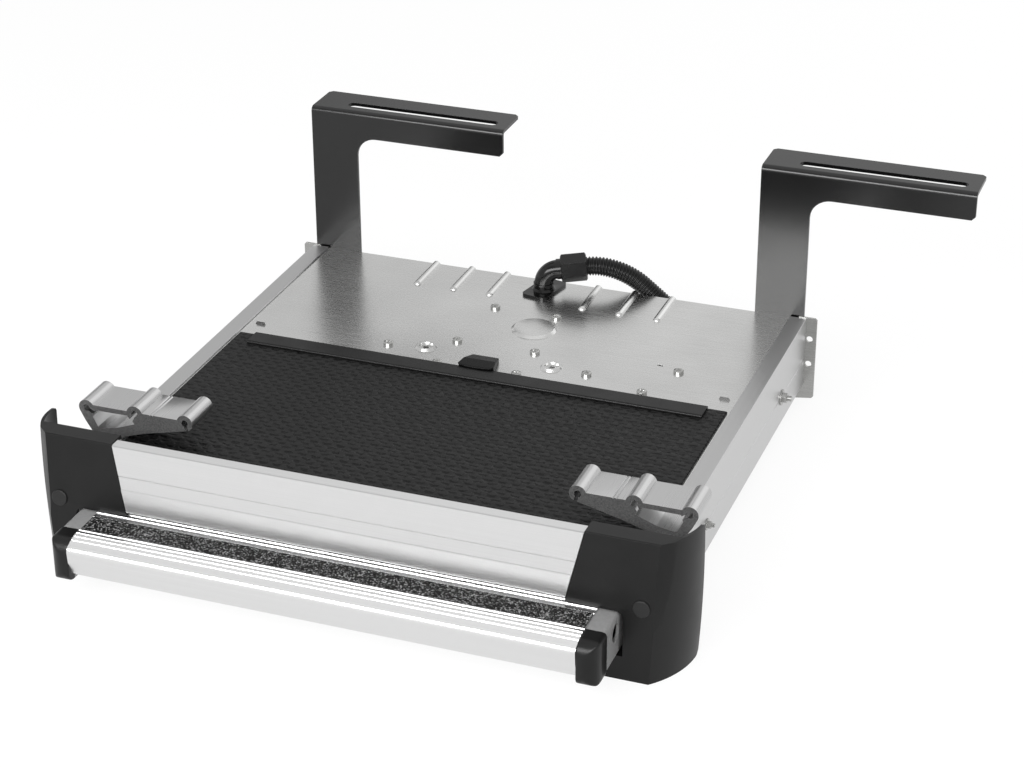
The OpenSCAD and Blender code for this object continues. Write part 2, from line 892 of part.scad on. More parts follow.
module motor() {
    r = motor_d / 2;
    color("#6f6f6f") translate([motor_at[0], motor_at[1], 0]) {
        translate([0, 0, motor_bottom + 5]) cylinder(h = casing_z - motor_bottom - 5, r = r);
        translate([0, 0, motor_bottom + 2]) cylinder(h = 3, r1 = r - 3, r2 = r);
        translate([0, 0, motor_bottom - 2]) cylinder(h = 4.5, r = 7);
    }
}

module rack_guide() {
    x1 = rack_x - running;
    color("#1c1c1c") along_y(pinion_y - guide_half, pinion_y + guide_half)
        rect(x1 - guide_t, gear_z - 2, x1, casing_z);
}

module control_box() {
    color("#262626") difference() {
        translate([0, 0, box_z]) linear_extrude(-plate_t - box_z)
            round_rect(box_x[0], pinion_y + box_y[0], box_x[1], pinion_y + box_y[1], 4);
        for (p = box_screws) translate([p[0], pinion_y + p[1], -box_screw_l])
            cylinder(h = box_screw_l, r = screw_r);
    }
}

// Rack along the travel; at rest one of its teeth faces the pinion's axis
module rack() {
    pitch = PI * tooth_module;
    add = tooth_module;
    ded = 1.25 * tooth_module;
    slope = tan(20);
    half = pitch / 4 - mesh_gap / 2;
    face = -pitch_r;
    front = member_y + member_d;
    ahead = floor((pinion_y - front) / pitch - 0.5);
    behind = floor((rack_rear - pinion_y) / pitch - 0.5);
    teeth = [for (k = [-ahead:behind]) let (y = pinion_y + k * pitch) each [
        [face - ded, y - half - ded * slope], [face + add, y - half + add * slope],
        [face + add, y + half - add * slope], [face - ded, y + half + ded * slope]
    ]];
    color("#8a8a8a") translate([0, 0, gear_z]) linear_extrude(gear_w) polygon(concat(
        [[rack_x, front], [face - ded, front]], teeth,
        [[face - ded, rack_rear], [rack_x, rack_rear]]
    ));
}

// Involute of a pressure angle of 20 degrees: how far the flank has turned at radius r
function unwind(base, r) = sqrt(max(0, r * r / base / base - 1)) * 180 / PI - acos(base / r);

module pinion_outline() {
    base = pitch_r * cos(20);
    tip = pitch_r + tooth_module;
    root = pitch_r - 1.25 * tooth_module;
    step = 360 / pinion_teeth;
    half = step / 4 - mesh_gap / 2 * 180 / PI / pitch_r + unwind(base, pitch_r);
    radii = [for (i = [0:4]) base + (tip - base) * i / 4];
    // A gap of the pinion faces the rack tooth
    polygon([for (t = [0:pinion_teeth - 1]) let (a = 180 + (t + 0.5) * step) each concat(
        [root * [cos(a - half), sin(a - half)]],
        [for (r = radii) let (b = a - half + unwind(base, r)) r * [cos(b), sin(b)]],
        [for (i = [4:-1:0]) let (r = radii[i], b = a + half - unwind(base, r))
            r * [cos(b), sin(b)]],
        [root * [cos(a + half), sin(a + half)]]
    )]);
}

module pinion() {
    color("#9a9a9a") translate([0, pinion_y, 0]) {
        translate([0, 0, gear_z]) linear_extrude(gear_w) pinion_outline();
        translate([0, 0, gear_z - 2]) cylinder(h = casing_z + 12 - gear_z, r = shaft_r);
        translate([0, 0, gear_z + gear_w]) cylinder(h = 3, r = shaft_r + 3);
    }
}

// Tread

// Ribs of the tread's top from y0 forward to y1, standing on height z
function rib_wave(y0, y1, z) = [for (y = [y0:-rib_step:y1 + rib_step - 0.01]) each [
    [y - 0.8, z], [y - 1.4, z + rib_h], [y - rib_step + 1.4, z + rib_h],
    [y - rib_step + 0.8, z]
]];

module tread_profile() {
    base = tread_top - rib_h;
    rear = tread_rear;
    tape_rear = tape_front + tape_w;
    low = tread_top - nose_h;
    under = tread_top - tread_t;
    nose_r = 7;
    cells = 4;
    cell = (rear - nose_y - 26) / cells;
    difference() {
        polygon(concat(
            [[rear, under], [rear, base]],
            rib_wave(rear - 2, tape_rear + 2, base),
            [[tape_rear + 0.4, base + rib_h], [tape_rear + 0.4, base + 0.2],
             [tape_front - 0.4, base + 0.2], [tape_front - 0.4, base + rib_h]],
            // Four front ribs step down towards the nose
            [for (k = [0:3]) let (y = tape_front - 1.8 - 5 * k, z = base - 0.3 * k * k) each [
                [y, z + rib_h], [y - 0.7, z - 0.3], [y - 1.3, z - 0.3], [y - 2, z + 0.8 * rib_h]
            ]],
            arc([nose_y + nose_r, base - 3.8 - nose_r], nose_r, 100, 180, 8),
            [[nose_y + 1, base - 22], [nose_y + 5, low + 2], [nose_y + 7, low],
             [nose_y + 12, low], [nose_y + 12, low + 3], [nose_y + 8.5, low + 3],
             [nose_y + 4.5, under + 3], [nose_y + 16, under]]
        ));
        for (k = [0:cells - 1]) let (y0 = nose_y + 22 + k * cell)
            rect(y0, under + 2.5, y0 + cell - 2.5, base - 2.2);
    }
}

module tread() {
    color("#dadada") along_x(-arm_in, arm_in) tread_profile();
}

module grip_tape() {
    base = tread_top - rib_h + 0.2;
    color("#3a3a3a") along_x(-arm_in + 1, arm_in - 1)
        rect(tape_front, base, tape_front + tape_w, base + 1);
}

module arm(side) {
    r = 3.5;
    wall = arm_wall;
    color("#8a8a8a") on_side(side) difference() {
        along_y(arm_nose, arm_rear) difference() {
            polygon(concat(
                [[arm_in, arm_bottom]],
                arc([arm_out - r, arm_bottom + r], r, -90, 0),
                arc([arm_out - r, arm_top - r], r, 0, 90),
                [[arm_in, arm_top]]
            ));
            rect(arm_in + wall, arm_bottom + wall, arm_out - wall, arm_top - wall);
        }
        translate([arm_out - wall - 1, arm_screw_y, arm_screw_z]) rotate([0, 90, 0])
            cylinder(h = 20, r = arm_screw_d / 2);
    }
}

// Socket screw that holds the tread to the arm's inner wall
module arm_screw(side) {
    seat = arm_in + arm_wall;
    washer_t = 1.5;
    head = 8;
    color("#b8b8b8") on_side(side) translate([seat, arm_screw_y, arm_screw_z])
        rotate([0, 90, 0]) difference() {
            union() {
                cylinder(h = washer_t, r = arm_screw_d / 2 - 1);
                translate([0, 0, washer_t]) cylinder(h = head, r = 6.5);
            }
            translate([0, 0, washer_t + head - 4]) cylinder(h = 6, r = 3.4, $fn = 6);
        }
}

// Rubber cap over the arm's nose, beside the tread's end, rounded like a pebble
module tread_cap(side) {
    over = 0.8;
    nose_r = 14;
    foot_r = 11;
    turn_r = 15;
    edge_r = 4;
    outer = arm_out + over;
    front = nose_y - 0.5;
    rear = nose_y + 29;
    top = arm_top + over;
    low = arm_bottom - over;
    color("#181818") on_side(side) difference() {
        intersection() {
            along_x(arm_in, outer) polygon(concat(
                [[rear, low], [rear, top]],
                arc([front + nose_r, top - nose_r], nose_r, 90, 180, 8),
                arc([front + foot_r, low + foot_r], foot_r, 180, 270, 8)
            ));
            along_y(front, rear) polygon(concat(
                [[arm_in, low], [arm_in, top]],
                arc([outer - edge_r, top - edge_r], edge_r, 90, 0, 4),
                arc([outer - edge_r, low + edge_r], edge_r, 0, -90, 4)
            ));
            translate([0, 0, low]) linear_extrude(top - low) polygon(concat(
                [[arm_in, rear], [arm_in, front + 1]],
                arc([outer - turn_r, front + turn_r], turn_r, -90, 0, 8),
                [[outer, rear]]
            ));
        }
        translate([arm_in - 1, arm_nose, arm_bottom])
            cube([arm_w + 1, rear - arm_nose + 1, arm_h]);
    }
}

// Channel that joins the two arms and carries the rack
module cross_member() {
    wall = 3;
    rear = member_y + member_d;
    top = member_z + member_h;
    color("#9c9c9c") along_x(-arm_in, arm_in) difference() {
        rect(member_y, member_z, rear, top);
        rect(member_y - 1, member_z + wall, rear - wall, top - wall);
    }
}

module glide(side, y) {
    color("#e8e4d8") on_side(side) along_x(arm_out, rail_out - rail_wall - running)
        round_rect(y, channel_bottom + running, y + glide_len, channel_top - running, 4);
}

// Cable elbow and hose

outlet = hose_points[0] - [elbow_at[0], elbow_at[1], 0];
outlet_reach = norm([outlet[0], outlet[1]]);
outlet_turn = atan2(outlet[1], outlet[0]);

// From the elbow's foot, with X towards the hose
module at_elbow(turn) {
    translate([elbow_at[0], rear_face + elbow_at[1], 0]) rotate([0, 0, turn]) children();
}

// From the outlet, with Z along the hose
module at_outlet() {
    at_elbow(outlet_turn) translate([outlet_reach, 0, outlet[2]])
        rotate([0, 90 - elbow_tilt, 0]) children();
}

// Riser, bend and outlet of the elbow, with a moulded bead over each joint of the bend
module cable_elbow() {
    bead = 1;
    bead_len = 2;
    run = (outlet_reach - elbow_bend * (1 - sin(elbow_tilt))) / cos(elbow_tilt);
    riser = outlet[2] - elbow_bend * cos(elbow_tilt) - run * sin(elbow_tilt);
    color("#141414") difference() {
        union() {
            at_elbow(outlet_turn) {
                cylinder(h = riser, r = elbow_r);
                translate([0, 0, riser - bead_len / 2])
                    cylinder(h = bead_len, r = elbow_r + bead);
                translate([elbow_bend, 0, riser]) rotate([90, 0, 0])
                    rotate([0, 0, 90 + elbow_tilt]) rotate_extrude(angle = 90 - elbow_tilt)
                        translate([elbow_bend, 0]) circle(r = elbow_r);
            }
            at_outlet() {
                translate([0, 0, -run]) cylinder(h = run, r = elbow_r);
                translate([0, 0, -run - 1]) cylinder(h = run + 1, r = elbow_r + bead);
            }
            at_elbow(flange_turn) {
                linear_extrude(3) round_rect(-15, -24, 15, 27, 5);
                translate([0, 0, 3]) cylinder(h = 2.5, r1 = 13.5, r2 = 11.5);
            }
        }
        at_elbow(outlet_turn) translate([0, 0, -1])
            cylinder(h = riser + 2, r = elbow_r - elbow_wall);
        at_outlet() translate([0, 0, -run - 1])
            cylinder(h = run + 2, r = elbow_r - elbow_wall);
    }
}

// Hexagonal sleeve that grips the hose at the elbow
module hose_sleeve() {
    cut = 2;
    end_r = sleeve_r * cos(30) - 0.4;
    full_r = sleeve_r + 0.8;
    color("#101010") at_outlet() difference() {
        intersection() {
            rotate([0, 0, sleeve_turn]) cylinder(h = sleeve_len, r = sleeve_r, $fn = 6);
            rotate_extrude() polygon([
                [0, 0], [end_r, 0], [full_r, cut], [full_r, sleeve_len - cut],
                [end_r, sleeve_len], [0, sleeve_len]
            ]);
        }
        translate([0, 0, -1]) cylinder(h = sleeve_len + 2, r = hose_d / 2 + hose_gap);
    }
}

// Smooth curve through the hand-set points of the route
function blend(p0, p1, p2, p3, t) = 0.5 * ((2 * p1) + (p2 - p0) * t
    + (2 * p0 - 5 * p1 + 4 * p2 - p3) * t * t + (3 * p1 - p0 - 3 * p2 + p3) * t * t * t);

function on_route(s) = let (
    last = len(hose_points) - 1,
    i = min(floor(s), last - 1),
    p = hose_points,
    before = i > 0 ? p[i - 1] : 2 * p[0] - p[1],
    after = i < last - 1 ? p[i + 2] : 2 * p[last] - p[last - 1]
) blend(before, p[i], p[i + 1], after, s - i) + [0, rear_face, 0];

// Lengths of the route up to each of its fine steps
fine = 8;
route = [for (k = [0:fine * (len(hose_points) - 1)]) on_route(k / fine)];
function add_up(points, k = 0, sum = 0, out = [0]) =
    k >= len(points) - 1 ? out
    : let (next = sum + norm(points[k + 1] - points[k])) add_up(points, k + 1, next,
        concat(out, [next]));
reach = add_up(route);
hose_len = reach[len(reach) - 1];

// Point of the route at a length along it
function at_length(s, k = 0) =
    k >= len(route) - 2 || reach[k + 1] >= s
        ? let (t = (s - reach[k]) / (reach[k + 1] - reach[k])) route[k] * (1 - t) + route[k + 1] * t
        : at_length(s, k + 1);

function heading(s) = let (
    a = at_length(max(0, s - 1)),
    b = at_length(min(hose_len, s + 1))
) (b - a) / norm(b - a);

// A ring of points about the route, steady because the route never runs along Y
function ring(s, r) = let (
    c = at_length(s),
    t = heading(s),
    side = cross(t, [0, 1, 0]) / norm(cross(t, [0, 1, 0])),
    up = cross(side, t)
) [for (k = [0:hose_sides - 1]) let (a = 360 * k / hose_sides)
    c + r * (side * cos(a) + up * sin(a))];

module corrugated_hose() {
    crest = hose_d / 2;
    valley = crest - rib_depth;
    bore = valley - hose_wall;
    ribbed = hose_len - 2 * hose_cuff;
    ribs = floor(ribbed / rib_pitch);
    pitch = ribbed / ribs;
    outer = concat([[0, valley]], [for (k = [0:ribs - 1]) each [
        [hose_cuff + (k + 0.25) * pitch, crest], [hose_cuff + (k + 0.75) * pitch, valley]
    ]], [[hose_len, valley]]);
    inner = concat([[hose_len, bore]],
        [for (k = [ribs - 1:-2:0]) [hose_cuff + (k + 0.75) * pitch, bore]], [[0, bore]]);
    rings = concat(outer, inner);
    n = len(rings);
    m = hose_sides;
    faces = [for (i = [0:n - 1], k = [0:m - 1]) let (
        a = i * m + k,
        b = i * m + (k + 1) % m,
        c = ((i + 1) % n) * m + k,
        d = ((i + 1) % n) * m + (k + 1) % m
    ) each [[a, b, c], [b, d, c]]];
    color("#101010") polyhedron(points = [for (q = rings) each ring(q[0], q[1])], faces = faces);
}

// Plug connector on the hose's end
module hose_connector() {
    grip_r = hose_d / 2 - 0.6;
    collar = 10;
    mouth = 12;
    end = hose_points[len(hose_points) - 1];
    color("#1a1a1a") translate(end + [0, rear_face, 0]) rotate([0, 90, 0]) {
        cylinder(h = collar, r = grip_r);
        translate([0, 0, collar]) cylinder(h = connector_len - collar - mouth, r = grip_r - 1.2);
        translate([0, 0, connector_len - mouth]) difference() {
            cylinder(h = mouth, r = grip_r);
            translate([0, 0, 4]) cylinder(h = mouth, r = grip_r - 2);
        }
    }
}

at_mount() top_plate();
at_mount() side_rail(-1);  // side_rail_left
at_mount() side_rail(1);  // side_rail_right
at_mount() front_fascia();
at_mount() corner_cap(-1);  // corner_cap_left
at_mount() corner_cap(1);  // corner_cap_right
at_mount() cap_plug(-1);  // cap_plug_left
at_mount() cap_plug(1);  // cap_plug_right
at_mount() rear_plate();
at_mount() rear_bracket(0);  // rear_bracket_left
at_mount() rear_bracket(1);  // rear_bracket_right
at_mount() rear_bolts(0);  // rear_bolts_left
at_mount() rear_bolts(1);  // rear_bolts_right
at_mount() front_bracket(-1);  // front_bracket_left
at_mount() front_bracket(1);  // front_bracket_right
at_mount() bracket_pad(-1);  // bracket_pad_left
at_mount() bracket_pad(1);  // bracket_pad_right
at_mount() rail_bolts(-1);  // rail_bolts_left
at_mount() rail_bolts(1);  // rail_bolts_right
at_mount() grip_mat();
at_mount() edge_strip();
at_mount() strip_clip();
at_mount() screw_set(drive_screws);
at_mount() screw_set(other_screws);  // plate_screws
at_mount() screw_set(box_screws);
at_mount() nut_set();  // plate_nuts
at_mount() gearbox();
at_mount() motor();
at_mount() rack_guide();
at_mount() control_box();
at_mount() cable_elbow();
at_mount() hose_sleeve();
at_mount() corrugated_hose();
at_mount() hose_connector();
at_mount() pinion();
at_mount() tread();
at_mount() grip_tape();
at_mount() tread_cap(-1);  // tread_cap_left
at_mount() tread_cap(1);  // tread_cap_right
at_mount() arm(-1);  // arm_left
at_mount() arm(1);  // arm_right
at_mount() arm_screw(-1);  // arm_screw_left
at_mount() arm_screw(1);  // arm_screw_right
at_mount() cross_member();
at_mount() rack();
at_mount() glide(-1, glide_y[0]);  // glide_front_left
at_mount() glide(1, glide_y[0]);  // glide_front_right
at_mount() glide(-1, glide_y[1]);  // glide_rear_left
at_mount() glide(1, glide_y[1]);  // glide_rear_right
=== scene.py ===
"""Electric slide-out entrance step for a caravan, shown closed, with its real finishes."""

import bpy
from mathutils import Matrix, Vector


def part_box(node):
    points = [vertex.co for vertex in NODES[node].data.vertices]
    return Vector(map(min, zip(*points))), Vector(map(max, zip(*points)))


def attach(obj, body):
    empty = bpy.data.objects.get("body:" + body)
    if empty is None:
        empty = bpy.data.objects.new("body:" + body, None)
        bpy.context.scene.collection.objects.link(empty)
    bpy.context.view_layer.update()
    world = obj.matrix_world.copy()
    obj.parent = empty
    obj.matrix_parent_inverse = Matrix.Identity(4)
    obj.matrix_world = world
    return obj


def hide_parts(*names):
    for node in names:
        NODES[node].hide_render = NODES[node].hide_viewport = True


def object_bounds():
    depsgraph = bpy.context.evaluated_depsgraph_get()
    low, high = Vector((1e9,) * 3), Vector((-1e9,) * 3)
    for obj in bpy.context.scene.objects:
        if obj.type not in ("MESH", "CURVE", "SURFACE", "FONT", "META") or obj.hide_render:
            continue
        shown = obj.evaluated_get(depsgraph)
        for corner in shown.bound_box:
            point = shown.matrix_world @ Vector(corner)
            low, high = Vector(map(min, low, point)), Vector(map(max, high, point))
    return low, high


bl_info = {
    "name": "Caravan Pull Out Step",
    "version": (1, 0, 0),
    "blender": (4, 5, 0),
    "location": "View3D > Sidebar > Pull Out Step",
    "description": "Gives the step's parts their fine shapes and finishes, and sets up the studio",
    "category": "Object",
}

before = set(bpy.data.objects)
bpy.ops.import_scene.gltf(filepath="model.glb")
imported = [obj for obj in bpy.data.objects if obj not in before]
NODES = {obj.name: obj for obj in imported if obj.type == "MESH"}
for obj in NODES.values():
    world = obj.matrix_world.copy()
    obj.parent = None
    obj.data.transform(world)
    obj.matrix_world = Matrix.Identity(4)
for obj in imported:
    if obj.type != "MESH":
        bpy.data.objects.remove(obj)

import math

import bmesh
import bpy
from bpy.props import FloatProperty, FloatVectorProperty, IntProperty, PointerProperty
from mathutils import Matrix, Vector

CAD_BOX = [[float(x) for x in corner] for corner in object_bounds()]
MM = 0.001

# The drawing's zero is the front of the deck; the frame's is the middle of the ear holes
REAR_FACE = 590.5
EAR_Z = -37.5


def placed(x, y, z):
    """A point of the drawing, in millimetres, as a point of the frame in metres."""
    return Vector((x * MM, (y - REAR_FACE) * MM, (z - EAR_Z) * MM))


def linear(hex_colour):
    """An sRGB hex colour as linear red, green and blue."""
    out = []
    for i in (0, 2, 4):
        c = int(hex_colour[i:i + 2], 16) / 255
        out.append(c / 12.92 if c <= 0.04045 else ((c + 0.055) / 1.055) ** 2.4)
    return out


def add(tree, kind, sockets=None, **settings):
    """Adds a node, sets its properties and sets or links its sockets."""
    made = tree.nodes.new(kind)
    for name, value in settings.items():
        setattr(made, name, value)
    for key, value in (sockets or {}).items():
        socket = made.inputs[key]
        if isinstance(value, bpy.types.Node):
            value = value.outputs[0]
        if isinstance(value, bpy.types.NodeSocket):
            tree.links.new(value, socket)
        else:
            socket.default_value = value
    return made


# Settings a user would change


class StepColours(bpy.types.PropertyGroup):
    """Colours of the step's finishes."""

    deck: FloatVectorProperty(
        name="Deck", description="Brushed galvanised sheet of the deck",
        subtype="COLOR", size=3, min=0, max=1, default=linear("DADAD9"))
    front: FloatVectorProperty(
        name="Front", description="Satin anodised front profile",
        subtype="COLOR", size=3, min=0, max=1, default=linear("ECECEC"))
    tread: FloatVectorProperty(
        name="Tread", description="Satin anodised tread",
        subtype="COLOR", size=3, min=0, max=1, default=linear("ECECEC"))
    caps: FloatVectorProperty(
        name="Corner caps", description="Moulded corner caps",
        subtype="COLOR", size=3, min=0, max=1, default=linear("121212"))
    mat: FloatVectorProperty(
        name="Mat", description="Rubber of the grip mat",
        subtype="COLOR", size=3, min=0, max=1, default=linear("181818"))


class StepShapes(bpy.types.PropertyGroup):
    """Sizes of the step's fine shapes."""

    pillow_x: FloatProperty(
        name="Pillow width", description="Distance between the mat's pillows along the step",
        subtype="DISTANCE", unit="LENGTH", min=0.008, max=0.03, default=0.0145)
    pillow_y: FloatProperty(
        name="Pillow depth", description="Distance between the mat's rows of pillows",
        subtype="DISTANCE", unit="LENGTH", min=0.008, max=0.03, default=0.0140)
    pillow_rise: FloatProperty(
        name="Pillow height", description="Height of a pillow above the mat's valleys",
        subtype="DISTANCE", unit="LENGTH", min=0.0002, max=0.002, default=0.0006)
    grit: FloatProperty(
        name="Grit", description="Height of the grit on the tread's tape",
        subtype="DISTANCE", unit="LENGTH", min=0.0001, max=0.001, default=0.0006)
    hose_diameter: FloatProperty(
        name="Hose diameter", description="Outer diameter of the corrugated hose",
        subtype="DISTANCE", unit="LENGTH", min=0.01, max=0.03, default=0.0212)
    hose_rib: FloatProperty(
        name="Hose rib", description="Depth of the hose's ribs",
        subtype="DISTANCE", unit="LENGTH", min=0.0004, max=0.003, default=0.0015)
    hose_pitch: FloatProperty(
        name="Hose pitch", description="Distance between the hose's ribs",
        subtype="DISTANCE", unit="LENGTH", min=0.002, max=0.006, default=0.0035)
    seed: IntProperty(
        name="Seed", description="Seed of the mat's and the grit's small variation",
        min=0, max=99, default=4)


class StepStage(bpy.types.PropertyGroup):
    """Camera, floor and light."""

    lens: FloatProperty(
        name="Lens", description="Focal length of the camera",
        subtype="DISTANCE_CAMERA", unit="CAMERA", min=20, max=200, default=86.79)
    floor: FloatVectorProperty(
        name="Floor", description="Colour of the floor",
        subtype="COLOR", size=3, min=0, max=1, default=linear("F4F4F4"))
    front_power: FloatProperty(
        name="Front box", description="Power of the large lamp in front",
        subtype="POWER", unit="POWER", min=0, max=500, default=44)
    back_power: FloatProperty(
        name="Back lamp", description="Power of the lamp behind the step",
        subtype="POWER", unit="POWER", min=0, max=500, default=10)


# Finishes

# The band that a noise pattern mostly stays in, spread over a colour's or roughness's whole range
NOISE_BAND = {"From Min": 0.3, "From Max": 0.7}


def new_finish(name):
    """An empty node material and its tree."""
    material = bpy.data.materials.new(name)
    material.use_nodes = True
    material.node_tree.nodes.clear()
    return material, material.node_tree


def stretched(tree, scale=(1, 1, 1)):
    """Object coordinates stretched along the way a surface was worked."""
    place = add(tree, "ShaderNodeTexCoord")
    return add(tree, "ShaderNodeMapping", {"Vector": place.outputs["Object"], "Scale": scale})


def shade(colour, factor):
    """A colour made darker or lighter."""
    return [min(1.0, c * factor) for c in colour]


def surfaced(tree, tone, shades, grain, rough, sockets):
    """Ends a finish: tone leads its colour between two shades, grain its roughness between two."""
    level = add(tree, "ShaderNodeMapRange", {"Value": tone, **NOISE_BAND})
    dark, light = shades
    colour = add(tree, "ShaderNodeMix", {0: level, 6: (*dark, 1), 7: (*light, 1)},
                 data_type="RGBA")
    roughness = add(tree, "ShaderNodeMapRange", {
        "Value": grain, **NOISE_BAND, "To Min": rough[0], "To Max": rough[1]})
    surface = add(tree, "ShaderNodeBsdfPrincipled", {
        "Base Color": colour.outputs[2], "Roughness": roughness, **sockets})
    add(tree, "ShaderNodeOutputMaterial", {"Surface": surface})


def brushed_sheet(name, colour, grain):
    """Galvanised sheet steel, brushed: lines along the brushing and a soft cloudy tone.

    The lines lie 1.6 mm apart, coarser than real ones of 0.2 mm, so that they show.
    """
    material, tree = new_finish(name)
    lines = add(tree, "ShaderNodeTexNoise", {
        "Vector": stretched(tree, grain), "Scale": 1.0, "Detail": 3.0, "Roughness": 0.6})
    clouds = add(tree, "ShaderNodeTexNoise", {
        "Vector": stretched(tree), "Scale": 9.0, "Detail": 2.0})
    both = add(tree, "ShaderNodeMath", {0: lines, 1: clouds}, operation="ADD")
    tone = add(tree, "ShaderNodeMath", {0: both, 1: 0.5}, operation="MULTIPLY")
    bump = add(tree, "ShaderNodeBump", {"Strength": 0.03, "Distance": 0.0004, "Height": lines})
    surfaced(tree, tone, (shade(colour, 0.86), shade(colour, 1.08)), lines, (0.22, 0.3),
             {"Metallic": 1.0, "Normal": bump})
    return material


def anodised(name, colour, grain, rough, relief=0.012):
    """Extruded aluminium, anodised: an even satin with faint die lines about 1 mm apart."""
    material, tree = new_finish(name)
    lines = add(tree, "ShaderNodeTexNoise", {
        "Vector": stretched(tree, grain), "Scale": 1.0, "Detail": 1.0})
    bump = add(tree, "ShaderNodeBump", {
        "Strength": relief, "Distance": 0.0002, "Height": lines})
    surfaced(tree, lines, (shade(colour, 0.97), colour), lines, rough,
             {"Metallic": 1.0, "Normal": bump})
    return material


def sawn(name, colour):
    """Saw-cut aluminium: a dull grey face scored by the blade's fine arcs, 2.4 mm apart."""
    material, tree = new_finish(name)
    arcs = add(tree, "ShaderNodeTexWave", {
        "Vector": stretched(tree), "Scale": 420.0, "Distortion": 3.0, "Detail": 2.0})
    skin = add(tree, "ShaderNodeTexNoise", {
        "Vector": stretched(tree), "Scale": 700.0, "Detail": 3.0})
    bump = add(tree, "ShaderNodeBump", {"Strength": 0.25, "Distance": 0.0003, "Height": arcs})
    surfaced(tree, skin, (shade(colour, 0.6), shade(colour, 1.15)), skin, (0.48, 0.6),
             {"Metallic": 0.5, "Normal": bump})
    return material


def moulded_plastic(name, colour, rough, texture, size=1400.0, shine=0.4):
    """Injection-moulded plastic: an etched texture of 0.7 mm or more breaks up its soft gloss."""
    material, tree = new_finish(name)
    etch = add(tree, "ShaderNodeTexNoise", {
        "Vector": stretched(tree), "Scale": size, "Detail": 2.0, "Roughness": 0.6})
    clouds = add(tree, "ShaderNodeTexNoise", {
        "Vector": stretched(tree), "Scale": 30.0, "Detail": 2.0})
    bump = add(tree, "ShaderNodeBump", {"Strength": texture, "Distance": 0.0003, "Height": etch})
    surfaced(tree, clouds, (shade(colour, 0.88), shade(colour, 1.1)),
             clouds, (rough - 0.04, rough + 0.04),
             {"Normal": bump, "IOR": 1.5, "Specular IOR Level": shine})
    return material


def rubber(name, colour, rough, texture):
    """Moulded rubber: dark and softly shining, with a pebble of 0.9 mm that takes the edge off."""
    material, tree = new_finish(name)
    pebble = add(tree, "ShaderNodeTexVoronoi", {
        "Vector": stretched(tree), "Scale": 1100.0, "Randomness": 1.0})
    dust = add(tree, "ShaderNodeTexNoise", {
        "Vector": stretched(tree), "Scale": 45.0, "Detail": 4.0})
    bump = add(tree, "ShaderNodeBump", {
        "Strength": texture, "Distance": 0.0003, "Height": pebble.outputs["Distance"]})
    surfaced(tree, dust, (shade(colour, 0.82), shade(colour, 1.15)),
             dust, (rough - 0.06, rough + 0.06),
             {"Normal": bump, "IOR": 1.5, "Specular IOR Level": 0.3})
    return material


